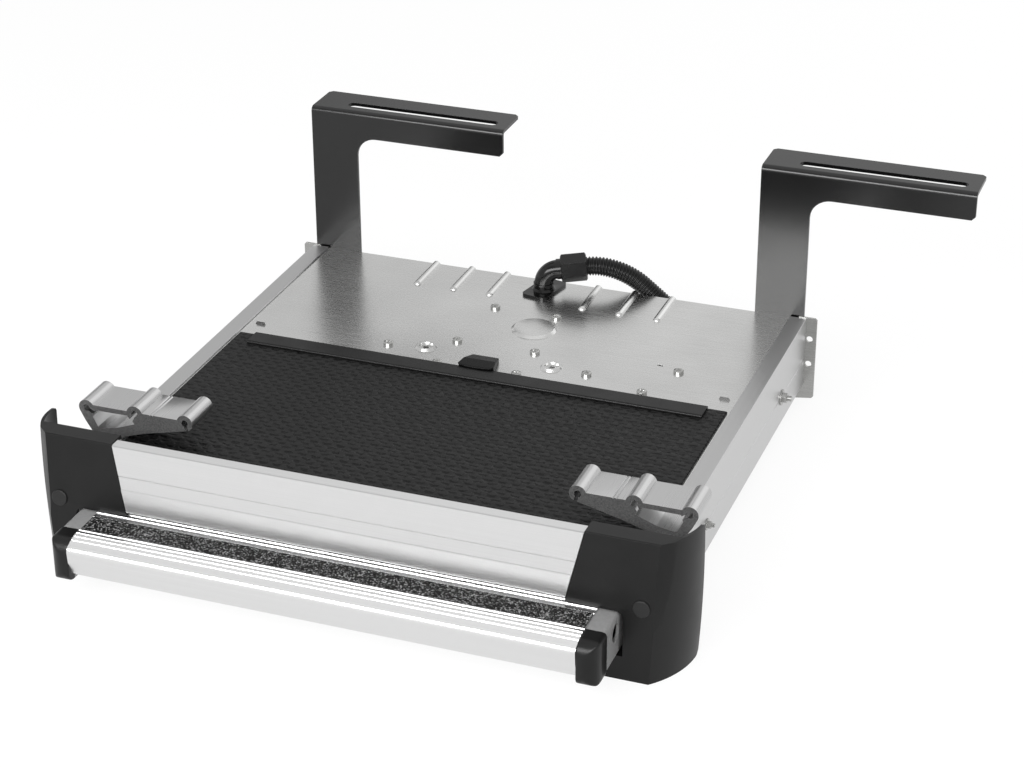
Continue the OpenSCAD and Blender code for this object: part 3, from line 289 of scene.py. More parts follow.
def scaled_rubber(name, colour):
    """Rubber moulded with staggered scales, each ending in a short curved valley that is sunk in
    the relief and painted dark as shade.

    The scales are as wide as the mat's pillows and half as deep.
    """
    material, tree = new_finish(name)
    sizes = bpy.context.scene.step_shapes
    place = stretched(tree)
    # The scales' places drift by up to 3 mm, so that no two are quite alike
    drift = add(tree, "ShaderNodeTexNoise", {"Vector": place, "Scale": 95.0, "Detail": 2.0})
    nudge = add(tree, "ShaderNodeVectorMath", {0: drift.outputs["Color"], 1: (0.5, 0.5, 0.5)},
                operation="SUBTRACT")
    nudge = add(tree, "ShaderNodeVectorMath", {0: nudge, "Scale": 0.006}, operation="SCALE")
    spot = add(tree, "ShaderNodeVectorMath", {0: place, 1: nudge}, operation="ADD")
    parts = add(tree, "ShaderNodeSeparateXYZ", {"Vector": spot})
    # Columns and rows of scales, every second row shifted by half a scale
    y = add(tree, "ShaderNodeMath", {0: parts.outputs["Y"], 1: sizes.pillow_y / 2},
            operation="DIVIDE")
    row = add(tree, "ShaderNodeMath", {0: y}, operation="FLOOR")
    odd = add(tree, "ShaderNodeMath", {0: row, 1: 1.0}, operation="PINGPONG")
    shift = add(tree, "ShaderNodeMath", {0: odd, 1: 0.5}, operation="MULTIPLY")
    x = add(tree, "ShaderNodeMath", {0: parts.outputs["X"], 1: sizes.pillow_x},
            operation="DIVIDE")
    x = add(tree, "ShaderNodeMath", {0: x, 1: shift}, operation="ADD")
    # Place within a scale, from -0.5 to 0.5 each way
    u = add(tree, "ShaderNodeMath", {0: x}, operation="FRACT")
    u = add(tree, "ShaderNodeMath", {0: u, 1: 0.5}, operation="SUBTRACT")
    w = add(tree, "ShaderNodeMath", {0: y}, operation="FRACT")
    w = add(tree, "ShaderNodeMath", {0: w, 1: 0.5}, operation="SUBTRACT")
    # The valley's curved line across the scale, and how far it reaches to the sides
    aside = add(tree, "ShaderNodeMath", {0: u}, operation="ABSOLUTE")
    bend = add(tree, "ShaderNodeMath", {0: aside, 1: 2.0}, operation="POWER")
    bend = add(tree, "ShaderNodeMath", {0: bend, 1: 1.6}, operation="MULTIPLY")
    off = add(tree, "ShaderNodeMath", {0: w, 1: bend}, operation="SUBTRACT")
    off = add(tree, "ShaderNodeMath", {0: off, 1: 0.12}, operation="ADD")
    off = add(tree, "ShaderNodeMath", {0: off}, operation="ABSOLUTE")
    line = add(tree, "ShaderNodeMapRange", {
        "Value": off, "From Min": 0.10, "From Max": 0.30, "To Min": 1.0, "To Max": 0.0},
        interpolation_type="SMOOTHSTEP")
    reach = add(tree, "ShaderNodeMapRange", {
        "Value": aside, "From Min": 0.2, "From Max": 0.4, "To Min": 1.0, "To Max": 0.0},
        interpolation_type="SMOOTHSTEP")
    valley = add(tree, "ShaderNodeMath", {0: line, 1: reach}, operation="MULTIPLY")
    # The skin between the valleys: fine grain in the relief, dust in the tone and the shine
    skin = add(tree, "ShaderNodeTexNoise", {"Vector": place, "Scale": 900.0, "Detail": 2.0})
    grain = add(tree, "ShaderNodeMath", {0: skin, 1: 0.05}, operation="MULTIPLY")
    height = add(tree, "ShaderNodeMath", {0: grain, 1: valley}, operation="SUBTRACT")
    bump = add(tree, "ShaderNodeBump", {"Strength": 0.9, "Distance": 0.0009, "Height": height})
    dust = add(tree, "ShaderNodeTexNoise", {"Vector": place, "Scale": 45.0, "Detail": 4.0})
    level = add(tree, "ShaderNodeMapRange", {"Value": dust, **NOISE_BAND})
    ground = add(tree, "ShaderNodeMix", {
        0: level, 6: (*shade(colour, 0.9), 1), 7: (*shade(colour, 1.1), 1)}, data_type="RGBA")
    # The valleys are painted near black in the colour, as the shade in the creases, on top of their
    # sunk relief
    valley_shaded = add(tree, "ShaderNodeMix", {0: valley, 6: ground.outputs[2], 7: (0, 0, 0, 1)},
                data_type="RGBA")
    roughness = add(tree, "ShaderNodeMapRange", {
        "Value": dust, **NOISE_BAND, "To Min": 0.42, "To Max": 0.52})
    surface = add(tree, "ShaderNodeBsdfPrincipled", {
        "Base Color": valley_shaded.outputs[2], "Roughness": roughness, "Normal": bump,
        "IOR": 1.5, "Specular IOR Level": 0.22})
    add(tree, "ShaderNodeOutputMaterial", {"Surface": surface})
    return material


def powder_coat(name, colour, rough):
    """Powder-coated steel: satin, with the faint orange peel, 2.4 mm wide, that the coat leaves."""
    material, tree = new_finish(name)
    peel = add(tree, "ShaderNodeTexNoise", {
        "Vector": stretched(tree), "Scale": 420.0, "Detail": 1.0})
    bump = add(tree, "ShaderNodeBump", {"Strength": 0.06, "Distance": 0.0005, "Height": peel})
    surfaced(tree, peel, (shade(colour, 0.94), shade(colour, 1.05)),
             peel, (rough - 0.02, rough + 0.02), {"Normal": bump, "IOR": 1.55})
    return material


def zinc_plate(name, colour, rough=0.24):
    """Zinc-plated steel: bright, with the faint unevenness of the plating, about 4 mm wide."""
    material, tree = new_finish(name)
    clouds = add(tree, "ShaderNodeTexNoise", {
        "Vector": stretched(tree), "Scale": 260.0, "Detail": 3.0})
    surfaced(tree, clouds, (shade(colour, 0.8), colour), clouds, (rough - 0.06, rough + 0.08),
             {"Metallic": 1.0})
    return material


def cast_metal(name, colour):
    """Die-cast aluminium: a dull skin with a grain of 2 mm."""
    material, tree = new_finish(name)
    skin = add(tree, "ShaderNodeTexNoise", {
        "Vector": stretched(tree), "Scale": 500.0, "Detail": 3.0})
    bump = add(tree, "ShaderNodeBump", {"Strength": 0.2, "Distance": 0.0004, "Height": skin})
    surfaced(tree, skin, (shade(colour, 0.85), colour), skin, (0.42, 0.56),
             {"Metallic": 1.0, "Normal": bump})
    return material


def resin_grit(name, colour, facets):
    """Mineral grit in black resin: dull black with scattered bright facets.

    The facets are drawn 1.2 mm wide, coarser than real grit, so that they show.
    """
    material, tree = new_finish(name)
    grains = add(tree, "ShaderNodeTexVoronoi", {
        "Vector": stretched(tree), "Scale": 820.0, "Randomness": 1.0})
    pick = add(tree, "ShaderNodeSeparateColor", {"Color": grains.outputs["Color"]})
    bright = add(tree, "ShaderNodeMapRange", {"Value": pick.outputs[0], "From Min": 0.72})
    tone = add(tree, "ShaderNodeMix", {
        0: bright, 6: (*colour, 1), 7: (*linear(facets), 1)}, data_type="RGBA")
    roughness = add(tree, "ShaderNodeMapRange", {
        "Value": pick.outputs[1], "To Min": 0.35, "To Max": 0.8})
    bump = add(tree, "ShaderNodeBump", {
        "Strength": 0.8, "Distance": 0.0006, "Height": grains.outputs["Distance"]})
    surface = add(tree, "ShaderNodeBsdfPrincipled", {
        "Base Color": tone.outputs[2], "Roughness": roughness, "Specular IOR Level": 0.25,
        "Normal": bump})
    add(tree, "ShaderNodeOutputMaterial", {"Surface": surface})
    return material


# Repeats of a metal's grain in a metre along X, Y and Z
BRUSHED_BACK, BRUSHED_UP = (22, 620, 22), (22, 22, 620)
DRAWN_BACK, DRAWN_ACROSS = (900, 5, 900), (3, 1500, 1500)

# Each finish: its maker, its colour as a setting's name or a hex, and the maker's other values,
# such as its roughness and its relief, in the maker's order
FINISHES = {
    "deck_sheet": (brushed_sheet, "deck", BRUSHED_BACK),
    # A darker sheet painted on the lances' cut faces, as the shade inside their openings
    "lance_shade": (brushed_sheet, "444444", BRUSHED_BACK),
    "rear_sheet": (brushed_sheet, "B2B2B0", BRUSHED_UP),
    "rail_anodised": (anodised, "DADADA", DRAWN_BACK, (0.34, 0.4)),
    # The rails' top and bottom faces: the same anodising painted darker, as shade for their dimmer
    # reflection
    "rail_top": (anodised, "C8C8C8", DRAWN_BACK, (0.34, 0.4)),
    "front_anodised": (anodised, "front", DRAWN_ACROSS, (0.3, 0.34), 0.003),
    "tread_anodised": (anodised, "tread", DRAWN_ACROSS, (0.26, 0.27), 0.002),
    "mill_aluminium": (anodised, "CACACA", (1200, 9, 1200), (0.27, 0.33), 0.03),
    "sawn_aluminium": (sawn, "6C6C6C"),
    "member_aluminium": (anodised, "A0A0A0", (6, 300, 300), (0.34, 0.42)),
    "cap_abs": (moulded_plastic, "caps", 0.34, 0.08, 1400.0, 0.28),
    "plug_abs": (moulded_plastic, "191919", 0.36, 0.08),
    "box_abs": (moulded_plastic, "232323", 0.46, 0.2),
    "clip_nylon": (moulded_plastic, "131313", 0.45, 0.08, 1400.0, 0.15),
    "guide_nylon": (moulded_plastic, "1B1B1B", 0.45, 0.1),
    "glide_nylon": (moulded_plastic, "DCD7C8", 0.4, 0.06),
    "elbow_nylon": (moulded_plastic, "0C0C0C", 0.16, 0.03, 300.0),
    "sleeve_nylon": (moulded_plastic, "0E0E0E", 0.26, 0.05, 400.0),
    "hose_nylon": (moulded_plastic, "0B0B0B", 0.3, 0.05, 500.0),
    "connector_nylon": (moulded_plastic, "161616", 0.4, 0.1),
    "mat_rubber": (scaled_rubber, "mat"),
    "strip_rubber": (rubber, "0A0A0A", 0.34, 0.04),
    "tread_cap_rubber": (rubber, "121212", 0.34, 0.06),
    "bracket_powder": (powder_coat, "090909", 0.22),
    "arm_powder": (powder_coat, "8A8A8A", 0.4),
    "motor_powder": (powder_coat, "3A3A3A", 0.4),
    "bright_zinc": (zinc_plate, "BCBCBA"),
    "gear_steel": (zinc_plate, "9A9A98", 0.34),
    "gearbox_cast": (cast_metal, "989896"),
    "tape_grit": (resin_grit, "080808", "B0B0B0"),
}

MADE_FINISHES = {}


def finish(name):
    """One of the step's finishes, made at its first use."""
    if name not in MADE_FINISHES:
        maker, ink, *values = FINISHES[name]
        colours = bpy.context.scene.step_colours
        colour = getattr(colours, ink) if hasattr(colours, ink) else linear(ink)
        MADE_FINISHES[name] = maker(name, colour, *values)
    return MADE_FINISHES[name]


# Making pieces

# How a CAD mesh is cleaned: distances in metres, angles in radians, an area in square metres
MERGE_DISTANCE = 2e-6
SPECK_LENGTH = 1e-6
FLAT_ANGLE = math.radians(0.4)
RIM_ANGLE = 0.01
WIDE_FACE = 0.003

# A face squarely across an axis has at least this much of its normal along it
SQUARE_ON = 0.99

# How far each kind of part is rounded at its edges, in metres
NO_EDGE = 0.0
TREAD_EDGE = 0.00025
FINE_EDGE = 0.0003
CUT_EDGE = 0.0004
FOLDED_EDGE = 0.0005
MOULDED_EDGE = 0.0006
BOX_EDGE = 0.0008
CAP_EDGE = 0.0009


def new_piece(name, mesh, body, material=None, stands_for=()):
    """A mesh as a piece of the step that rides on a body and stands for CAD nodes."""
    piece = bpy.data.objects.new(name, mesh)
    bpy.context.scene.collection.objects.link(piece)
    if material is not None:
        piece.data.materials.clear()
        piece.data.materials.append(material)
    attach(piece, body)
    if stands_for:
        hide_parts(*stands_for)
    return piece


def painted(names, material):
    """Gives CAD nodes that keep their own shape a finish."""
    for name in names:
        data = NODES[name].data
        data.materials.clear()
        data.materials.append(material)


def as_mesh(form, name):
    """A finished form as a mesh."""
    mesh = bpy.data.meshes.new(name)
    form.to_mesh(mesh)
    form.free()
    return mesh


def block(low, high):
    """The form of a box between two corners."""
    form = bmesh.new()
    bmesh.ops.create_cube(form, size=1.0)
    bmesh.ops.scale(form, vec=high - low, verts=form.verts)
    bmesh.ops.translate(form, vec=(low + high) / 2, verts=form.verts)
    return form


def rounded(name, body, material, edge, angle=28, steps=2, across=None, other=None):
    """A CAD node's shape with smooth curves and rounded edges as the real part's are.

    Faces that lie across the axis given take the other finish.
    """
    form = bmesh.new()
    form.from_mesh(NODES[name].data)
    bmesh.ops.remove_doubles(form, verts=form.verts, dist=MERGE_DISTANCE)
    bmesh.ops.dissolve_degenerate(form, edges=form.edges, dist=SPECK_LENGTH)
    bmesh.ops.dissolve_limit(
        form, angle_limit=FLAT_ANGLE, verts=form.verts, edges=form.edges)
    for face in form.faces:
        face.smooth = True
    form.edges.index_update()
    # The rims of wide faces stay sharp, or the smoothing would shade the whole face
    wide = {f for f in form.faces if f.calc_area() > WIDE_FACE}
    rims = [e.index for e in form.edges if len(e.link_faces) == 2
            and any(f in wide for f in e.link_faces) and e.calc_face_angle() > RIM_ANGLE]
    mesh = as_mesh(form, name + "_shape")
    mesh.set_sharp_from_angle(angle=math.radians(angle))
    for index in rims:
        mesh.edges[index].use_edge_sharp = True
    if other is not None:
        mesh.materials.clear()
        mesh.materials.append(material)
        mesh.materials.append(other)
        for face in mesh.polygons:
            face.material_index = int(abs(face.normal[across]) > SQUARE_ON)
        material = None
    piece = new_piece(name + "_piece", mesh, body, material, (name,))
    if edge:
        bevel = piece.modifiers.new("rounded edges", "BEVEL")
        bevel.width = edge
        bevel.segments = steps
        bevel.limit_method = "ANGLE"
        bevel.angle_limit = math.radians(angle)
        bevel.harden_normals = True
        bevel.use_clamp_overlap = True
    return piece


def softened(name, body, material, voxel, passes, filled=False):
    """A CAD node's shape with every edge drawn soft, as a moulded or rubber part's are.

    A filled piece closes over the end that it is pushed onto.
    """
    piece = rounded(name, body, material, NO_EDGE, angle=60)
    if filled:
        skin = bmesh.new()
        for vertex in piece.data.vertices:
            skin.verts.new(vertex.co)
        hull = bmesh.ops.convex_hull(skin, input=skin.verts)
        bmesh.ops.delete(skin, geom=hull["geom_interior"], context="VERTS")
        skin.to_mesh(piece.data)
        skin.free()
    remesh = piece.modifiers.new("even skin", "REMESH")
    remesh.mode = "VOXEL"
    remesh.voxel_size = voxel
    remesh.use_smooth_shade = True
    soft = piece.modifiers.new("soft edges", "SMOOTH")
    soft.factor = 0.5
    soft.iterations = passes
    return piece


def shape_tree(name, sizes):
    """A Geometry Nodes tree with named inputs, and its input node."""
    tree = bpy.data.node_groups.new(name, "GeometryNodeTree")
    sockets = tree.interface
    sockets.new_socket("Geometry", in_out="INPUT", socket_type="NodeSocketGeometry")
    for label, kind in sizes:
        sockets.new_socket(label, in_out="INPUT", socket_type=kind)
    sockets.new_socket("Geometry", in_out="OUTPUT", socket_type="NodeSocketGeometry")
    return tree, add(tree, "NodeGroupInput")


def close_tree(tree, geometry, material):
    """Ends a tree in plain geometry with its finish."""
    real = add(tree, "GeometryNodeRealizeInstances", {"Geometry": geometry})
    dressed = add(tree, "GeometryNodeSetMaterial", {"Geometry": real, "Material": material})
    add(tree, "NodeGroupOutput", {0: dressed})


def grown(name, data, tree, values):
    """Runs a tree on a mesh or curve and returns the result as a plain mesh."""
    seed = bpy.data.objects.new(name + "_seed", data)
    bpy.context.scene.collection.objects.link(seed)
    growth = seed.modifiers.new("growth", "NODES")
    growth.node_group = tree
    for item in tree.interface.items_tree:
        if item.item_type == "SOCKET" and item.in_out == "INPUT" and item.name in values:
            growth[item.identifier] = values[item.name]
    bpy.context.view_layer.update()
    result = seed.evaluated_get(bpy.context.evaluated_depsgraph_get())
    mesh = bpy.data.meshes.new_from_object(result)
    seed.modifiers.remove(growth)
    bpy.data.objects.remove(seed)
    mesh.name = name + "_shape"
    if not mesh.polygons:
        raise RuntimeError(name + " came out empty")
    return mesh


# The hose's route, from the rear face of the rear plate and the top of the deck, in metres
HOSE_ROUTE = [
    (0.017, -0.0215, 0.027), (0.0305, -0.0165, 0.0285), (0.044, -0.0115, 0.030),
    (0.055, -0.0075, 0.0302), (0.066, -0.0035, 0.0284), (0.077, 0.0005, 0.0247),
    (0.087, 0.0045, 0.0194), (0.0965, 0.008, 0.0128), (0.105, 0.011, 0.005),
    (0.1135, 0.0135, -0.0032), (0.123, 0.016, -0.0123), (0.133, 0.0185, -0.0219),
    (0.143, 0.021, -0.0315), (0.153, 0.0235, -0.0411), (0.162, 0.0255, -0.0498),
    (0.171, 0.027, -0.0584), (0.1825, 0.0275, -0.0681), (0.195, 0.0275, -0.0759),
    (0.209, 0.0275, -0.0816), (0.2235, 0.0275, -0.085), (0.238, 0.0275, -0.0862),
    (0.256, 0.0275, -0.0862),
]


# The hose: points along each of its ribs, sides around it, and how far each end is plain, in metres
RIB_POINTS = 8.0
HOSE_SIDES = 28
HOSE_CUFF = 0.012


def through(points, steps=8):
    """Points of a smooth curve through the given ones, so many steps from each to the next."""
    p = [Vector(q) for q in points]
    p = [2 * p[0] - p[1]] + p + [2 * p[-1] - p[-2]]
    out = []
    for i in range(1, len(p) - 2):
        for k in range(steps):
            t = k / steps
            out.append(0.5 * (2 * p[i] + (p[i + 1] - p[i - 1]) * t
                              + (2 * p[i - 1] - 5 * p[i] + 4 * p[i + 1] - p[i + 2]) * t * t
                              + (3 * p[i] - p[i - 1] - 3 * p[i + 1] + p[i + 2]) * t ** 3))
    out.append(p[-2])
    return out


# The photograph's camera: its place in the drawing's millimetres, its right and up directions, the
# width of its sensor in millimetres and how far it sees in metres
CAMERA_PLACE = (838.9, -1803.8, 1166.1)
CAMERA_RIGHT = (0.938054, 0.346476, -0.003060)
CAMERA_UP = (-0.155144, 0.427904, 0.890409)
CAMERA_SENSOR = 36
CAMERA_REACH = 50


class STEP_OT_camera(bpy.types.Operator):
    """Sets the camera at the photograph's place and angle"""

    bl_idname = "pull_out_step.camera"
    bl_label = "Camera"

    def execute(self, context):
        data = bpy.data.cameras.new("camera")
        data.lens = context.scene.step_stage.lens
        data.sensor_width = CAMERA_SENSOR
        data.clip_end = CAMERA_REACH
        camera = bpy.data.objects.new("camera", data)
        context.scene.collection.objects.link(camera)
        right, up = Vector(CAMERA_RIGHT), Vector(CAMERA_UP)
        turn = Matrix((right, up, right.cross(up))).transposed()
        camera.matrix_world = Matrix.Translation(placed(*CAMERA_PLACE)) @ turn.to_4x4()
        context.scene.camera = camera
        return {"FINISHED"}


class STEP_OT_hose(bpy.types.Operator):
    """Makes the corrugated hose that carries the cable"""

    bl_idname = "pull_out_step.hose"
    bl_label = "Corrugated hose"

    def execute(self, context):
        sizes = context.scene.step_shapes
        route = [q + Vector((0, 0, -EAR_Z * MM)) for q in through(HOSE_ROUTE)]
        curve = bpy.data.curves.new("hose_line", "CURVE")
        curve.dimensions = "3D"
        line = curve.splines.new("POLY")
        line.points.add(len(route) - 1)
        for point, q in zip(line.points, route):
            point.co = (*q, 1)
        tree, given = shape_tree("ribbed hose", [
            ("Radius", "NodeSocketFloat"), ("Rib", "NodeSocketFloat"),
            ("Pitch", "NodeSocketFloat"), ("Cuff", "NodeSocketFloat")])
        step = add(tree, "ShaderNodeMath", {0: given.outputs["Pitch"], 1: RIB_POINTS},
                   operation="DIVIDE")
        fine = add(tree, "GeometryNodeResampleCurve", {
            "Curve": given.outputs["Geometry"], "Length": step}, mode="LENGTH")
        along = add(tree, "GeometryNodeSplineParameter")
        whole = add(tree, "GeometryNodeSplineLength")
        turns = add(tree, "ShaderNodeMath", {
            0: along.outputs["Length"], 1: given.outputs["Pitch"]}, operation="DIVIDE")
        angle = add(tree, "ShaderNodeMath", {0: turns, 1: 2 * math.pi}, operation="MULTIPLY")
        wave = add(tree, "ShaderNodeMath", {0: angle}, operation="SINE")
        # A wave made square: flat crests and valleys with steep flanks, 1 in the valleys
        valley = add(tree, "ShaderNodeMapRange", {
            "Value": wave, "From Min": -0.75, "From Max": 0.55, "To Min": 1.0, "To Max": 0.0},
            interpolation_type="SMOOTHSTEP")
        left = add(tree, "ShaderNodeMath", {
            0: whole.outputs["Length"], 1: along.outputs["Length"]}, operation="SUBTRACT")
        inside = add(tree, "ShaderNodeMath", {0: along.outputs["Length"], 1: left},
                     operation="MINIMUM")
        cuff = add(tree, "ShaderNodeMath", {0: inside, 1: given.outputs["Cuff"]},
                   operation="LESS_THAN")
        dip = add(tree, "ShaderNodeMath", {0: valley, 1: cuff}, operation="MAXIMUM")
        depth = add(tree, "ShaderNodeMath", {0: dip, 1: given.outputs["Rib"]},
                    operation="MULTIPLY")
        radius = add(tree, "ShaderNodeMath", {0: given.outputs["Radius"], 1: depth},
                     operation="SUBTRACT")
        ring = add(tree, "GeometryNodeCurvePrimitiveCircle", {
            "Resolution": HOSE_SIDES, "Radius": 1.0})
        tube = add(tree, "GeometryNodeCurveToMesh", {
            "Curve": fine, "Profile Curve": ring, "Scale": radius, "Fill Caps": True})
        smooth = add(tree, "GeometryNodeSetShadeSmooth", {"Geometry": tube})
        close_tree(tree, smooth, finish("hose_nylon"))
        mesh = grown("corrugated_hose", curve, tree, {
            "Radius": sizes.hose_diameter / 2, "Rib": sizes.hose_rib,
            "Pitch": sizes.hose_pitch, "Cuff": HOSE_CUFF})
        hose = new_piece("hose", mesh, "housing", stands_for=("corrugated_hose",))
        connector = rounded(
            "hose_connector", "housing", finish("connector_nylon"), MOULDED_EDGE)
        return {"FINISHED"}


class STEP_OT_elbow(bpy.types.Operator):
    """Finishes the cable elbow and its sleeve"""

    bl_idname = "pull_out_step.elbow"
    bl_label = "Cable elbow and sleeve"

    def execute(self, context):
        rounded("cable_elbow", "housing", finish("elbow_nylon"), CUT_EDGE)
        rounded("hose_sleeve", "housing", finish("sleeve_nylon"), MOULDED_EDGE)
        return {"FINISHED"}


# How far above the plate the middle of a lance's cut face lies at least, in metres
LANCE_CLEAR = 0.0005


class STEP_OT_deck(bpy.types.Operator):
    """Finishes the deck plate and the rear plate"""

    bl_idname = "pull_out_step.deck"
    bl_label = "Deck and rear plate"

    def execute(self, context):
        deck = rounded("top_plate", "housing", finish("deck_sheet"), CUT_EDGE, angle=24)
        deck.data.materials.append(finish("lance_shade"))
        # The cut faces of the lances are all that stands above the plate and faces forwards; they
        # take a darker sheet, painted shade for the inside of the lances' openings
        above = placed(0, 0, 0).z + LANCE_CLEAR
        for face in deck.data.polygons:
            if face.normal.y < -SQUARE_ON and face.center.z > above:
                face.material_index = 1
        rounded("rear_plate", "housing", finish("rear_sheet"), CUT_EDGE)
        return {"FINISHED"}


class STEP_OT_rails(bpy.types.Operator):
    """Finishes the side rails and their bolts"""

    bl_idname = "pull_out_step.rails"
    bl_label = "Side rails"

    def execute(self, context):
        for side in ("left", "right"):
            # Faces across Z, the rails' tops and bottoms, take the darker copy of the anodising,
            # painted shade
            rounded("side_rail_" + side, "housing", finish("rail_anodised"), CUT_EDGE,
                    across=2, other=finish("rail_top"))
            rounded("rail_bolts_" + side, "housing", finish("bright_zinc"), FINE_EDGE)
        return {"FINISHED"}


class STEP_OT_front(bpy.types.Operator):
    """Finishes the front profile, the corner caps and their plugs"""

    bl_idname = "pull_out_step.front"
    bl_label = "Front and corner caps"

    def execute(self, context):
        rounded("front_fascia", "housing", finish("front_anodised"), FINE_EDGE, angle=20)
        for side in ("left", "right"):
            rounded("corner_cap_" + side, "housing", finish("cap_abs"), CAP_EDGE,
                    angle=30, steps=3)
            rounded("cap_plug_" + side, "housing", finish("plug_abs"), FINE_EDGE)
        return {"FINISHED"}


class STEP_OT_brackets(bpy.types.Operator):
    """Finishes the mounting brackets and their bolts"""

    bl_idname = "pull_out_step.brackets"
    bl_label = "Mounting brackets"

    def execute(self, context):
        for side in ("left", "right"):
            rounded("rear_bracket_" + side, "housing", finish("bracket_powder"), FOLDED_EDGE)
            rounded("rear_bolts_" + side, "housing", finish("bright_zinc"), CUT_EDGE)
            rounded("front_bracket_" + side, "housing", finish("mill_aluminium"), CUT_EDGE,
                    across=1, other=finish("sawn_aluminium"))
            painted(("bracket_pad_" + side,), finish("mill_aluminium"))
        return {"FINISHED"}


# The mat: its bare rim, its slab's rounded edge and how deep a pillow is set in, in metres, and the
# share of its place that a pillow fills
MAT_RIM = 0.0016
MAT_EDGE = 0.0008
PILLOW_SINK = 0.0001
PILLOW_SHARE = 0.97


def mat_slab(low, high):
    """The mat's flat slab, with the edges of its upper side rounded."""
    form = block(low, high)
    upper = [e for e in form.edges if all(v.co.z > high.z - 1e-5 for v in e.verts)]
    bmesh.ops.bevel(form, geom=upper, offset=MAT_EDGE, segments=2, affect="EDGES")
    return as_mesh(form, "mat_base")


def mat_pillow(wide, deep, rise):
    """One pillow: a small grid that is crowned in the middle and falls off at its rim."""
    form = bmesh.new()
    bmesh.ops.create_grid(form, x_segments=6, y_segments=5, size=0.5)
    for vertex in form.verts:
        u, w = 2 * vertex.co.x, 2 * vertex.co.y
        vertex.co.z = rise * ((1 - u ** 4) * (1 - w ** 4)) ** 0.6 - PILLOW_SINK
    for face in form.faces:
        face.smooth = True
    bmesh.ops.scale(form, vec=(wide * PILLOW_SHARE, deep * PILLOW_SHARE, 1), verts=form.verts)
    return as_mesh(form, "mat_pillow")


class STEP_OT_mat(bpy.types.Operator):
    """Makes the grip mat with its rows of pillows"""

    bl_idname = "pull_out_step.mat"
    bl_label = "Grip mat"

    def execute(self, context):
        sizes = context.scene.step_shapes
        low, high = (Vector(corner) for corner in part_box("grip_mat"))
        top = high.z - sizes.pillow_rise
        wide, deep = high.x - low.x - 2 * MAT_RIM, high.y - low.y - 2 * MAT_RIM
        columns, rows = int(wide / sizes.pillow_x), int(deep / sizes.pillow_y)
        # Half a column is left over, because every second row is shifted by that much
        step_x, step_y = wide / (columns + 0.5), deep / rows
        spots = bmesh.new()
        for row in range(rows):
            shift = 0.5 * (row % 2)
            for column in range(columns):
                spots.verts.new((low.x + MAT_RIM + (column + 0.5 + shift) * step_x,
                                 low.y + MAT_RIM + (row + 0.5) * step_y, top))
        places = as_mesh(spots, "mat_places")
        master = bpy.data.objects.new(
            "mat_pillow", mat_pillow(step_x, step_y, sizes.pillow_rise))
        slab_master = bpy.data.objects.new(
            "mat_base", mat_slab(low, Vector((high.x, high.y, top))))

        tree, given = shape_tree("mat pillows", [
            ("Pillow", "NodeSocketObject"), ("Base", "NodeSocketObject"),
            ("Turn", "NodeSocketFloat"), ("Seed", "NodeSocketInt")])
        shape = add(tree, "GeometryNodeObjectInfo", {"Object": given.outputs["Pillow"]})
        back = add(tree, "ShaderNodeMath", {0: given.outputs["Turn"], 1: -1.0},
                   operation="MULTIPLY")
        turn = add(tree, "FunctionNodeRandomValue", {
            2: back, 3: given.outputs["Turn"], "Seed": given.outputs["Seed"]},
            data_type="FLOAT")
        angles = add(tree, "ShaderNodeCombineXYZ", {"Z": turn.outputs[1]})
        # Pillows stand between 80 and 100 percent of their full height
        size = add(tree, "FunctionNodeRandomValue", {2: 0.8, 3: 1.0}, data_type="FLOAT")
        scales = add(tree, "ShaderNodeCombineXYZ", {
            "X": 1.0, "Y": 1.0, "Z": size.outputs[1]})
        rows_made = add(tree, "GeometryNodeInstanceOnPoints", {
            "Points": given.outputs["Geometry"], "Instance": shape.outputs["Geometry"],
            "Rotation": angles, "Scale": scales})
        base_shape = add(tree, "GeometryNodeObjectInfo", {"Object": given.outputs["Base"]})
        joined = add(tree, "GeometryNodeJoinGeometry")
        tree.links.new(rows_made.outputs[0], joined.inputs[0])
        tree.links.new(base_shape.outputs["Geometry"], joined.inputs[0])
        close_tree(tree, joined, finish("mat_rubber"))
        mesh = grown("grip_mat", places, tree, {
            "Pillow": master, "Base": slab_master, "Turn": 0.06, "Seed": sizes.seed})
        for spare in (master, slab_master):
            bpy.data.objects.remove(spare)
        new_piece("mat", mesh, "housing", stands_for=("grip_mat",))
        return {"FINISHED"}


class STEP_OT_strip(bpy.types.Operator):
    """Finishes the mat's rear strip and its clip"""

    bl_idname = "pull_out_step.strip"
    bl_label = "Strip and clip"

    def execute(self, context):
        rounded("edge_strip", "housing", finish("strip_rubber"), FINE_EDGE)
        softened("strip_clip", "housing", finish("clip_nylon"), voxel=0.0005, passes=8)
        return {"FINISHED"}


# Screw places on the deck, in the drawing's millimetres
SCREWS = [(-46, 354), (42, 356), (-45, 410), (43, 411), (-36, 502), (36, 500),
          (-112, 378), (111, 381), (178, 361), (200, 419)]

# A pan head: radius, height and depth of its cross recess, in metres; its sides and its rings,
# as parts of the radius
HEAD_RADIUS = 5.4 * MM
HEAD_HEIGHT = 3.9 * MM
CROSS_DEPTH = 2.2 * MM
HEAD_SIDES = 40
HEAD_RINGS = [0.12, 0.24, 0.36, 0.46, 0.56, 0.68, 0.8, 0.9, 0.97, 1.0]


def head_height(x, y, ring):
    """Height of a pan head at a point of a ring, all in parts of its radius."""
    z = HEAD_HEIGHT * (1 - 0.3 * ring ** 2 if ring < 0.95 else 0.6)
    # The cross recess: 0.12 wide to each side of its middle, with sloping walls to 0.17
    aside = min(abs(x), abs(y))
    if aside < 0.17 and ring < 0.6:
        z -= CROSS_DEPTH * (1 - ring / 0.9) * (1 if aside < 0.12 else 0.4)
    return z


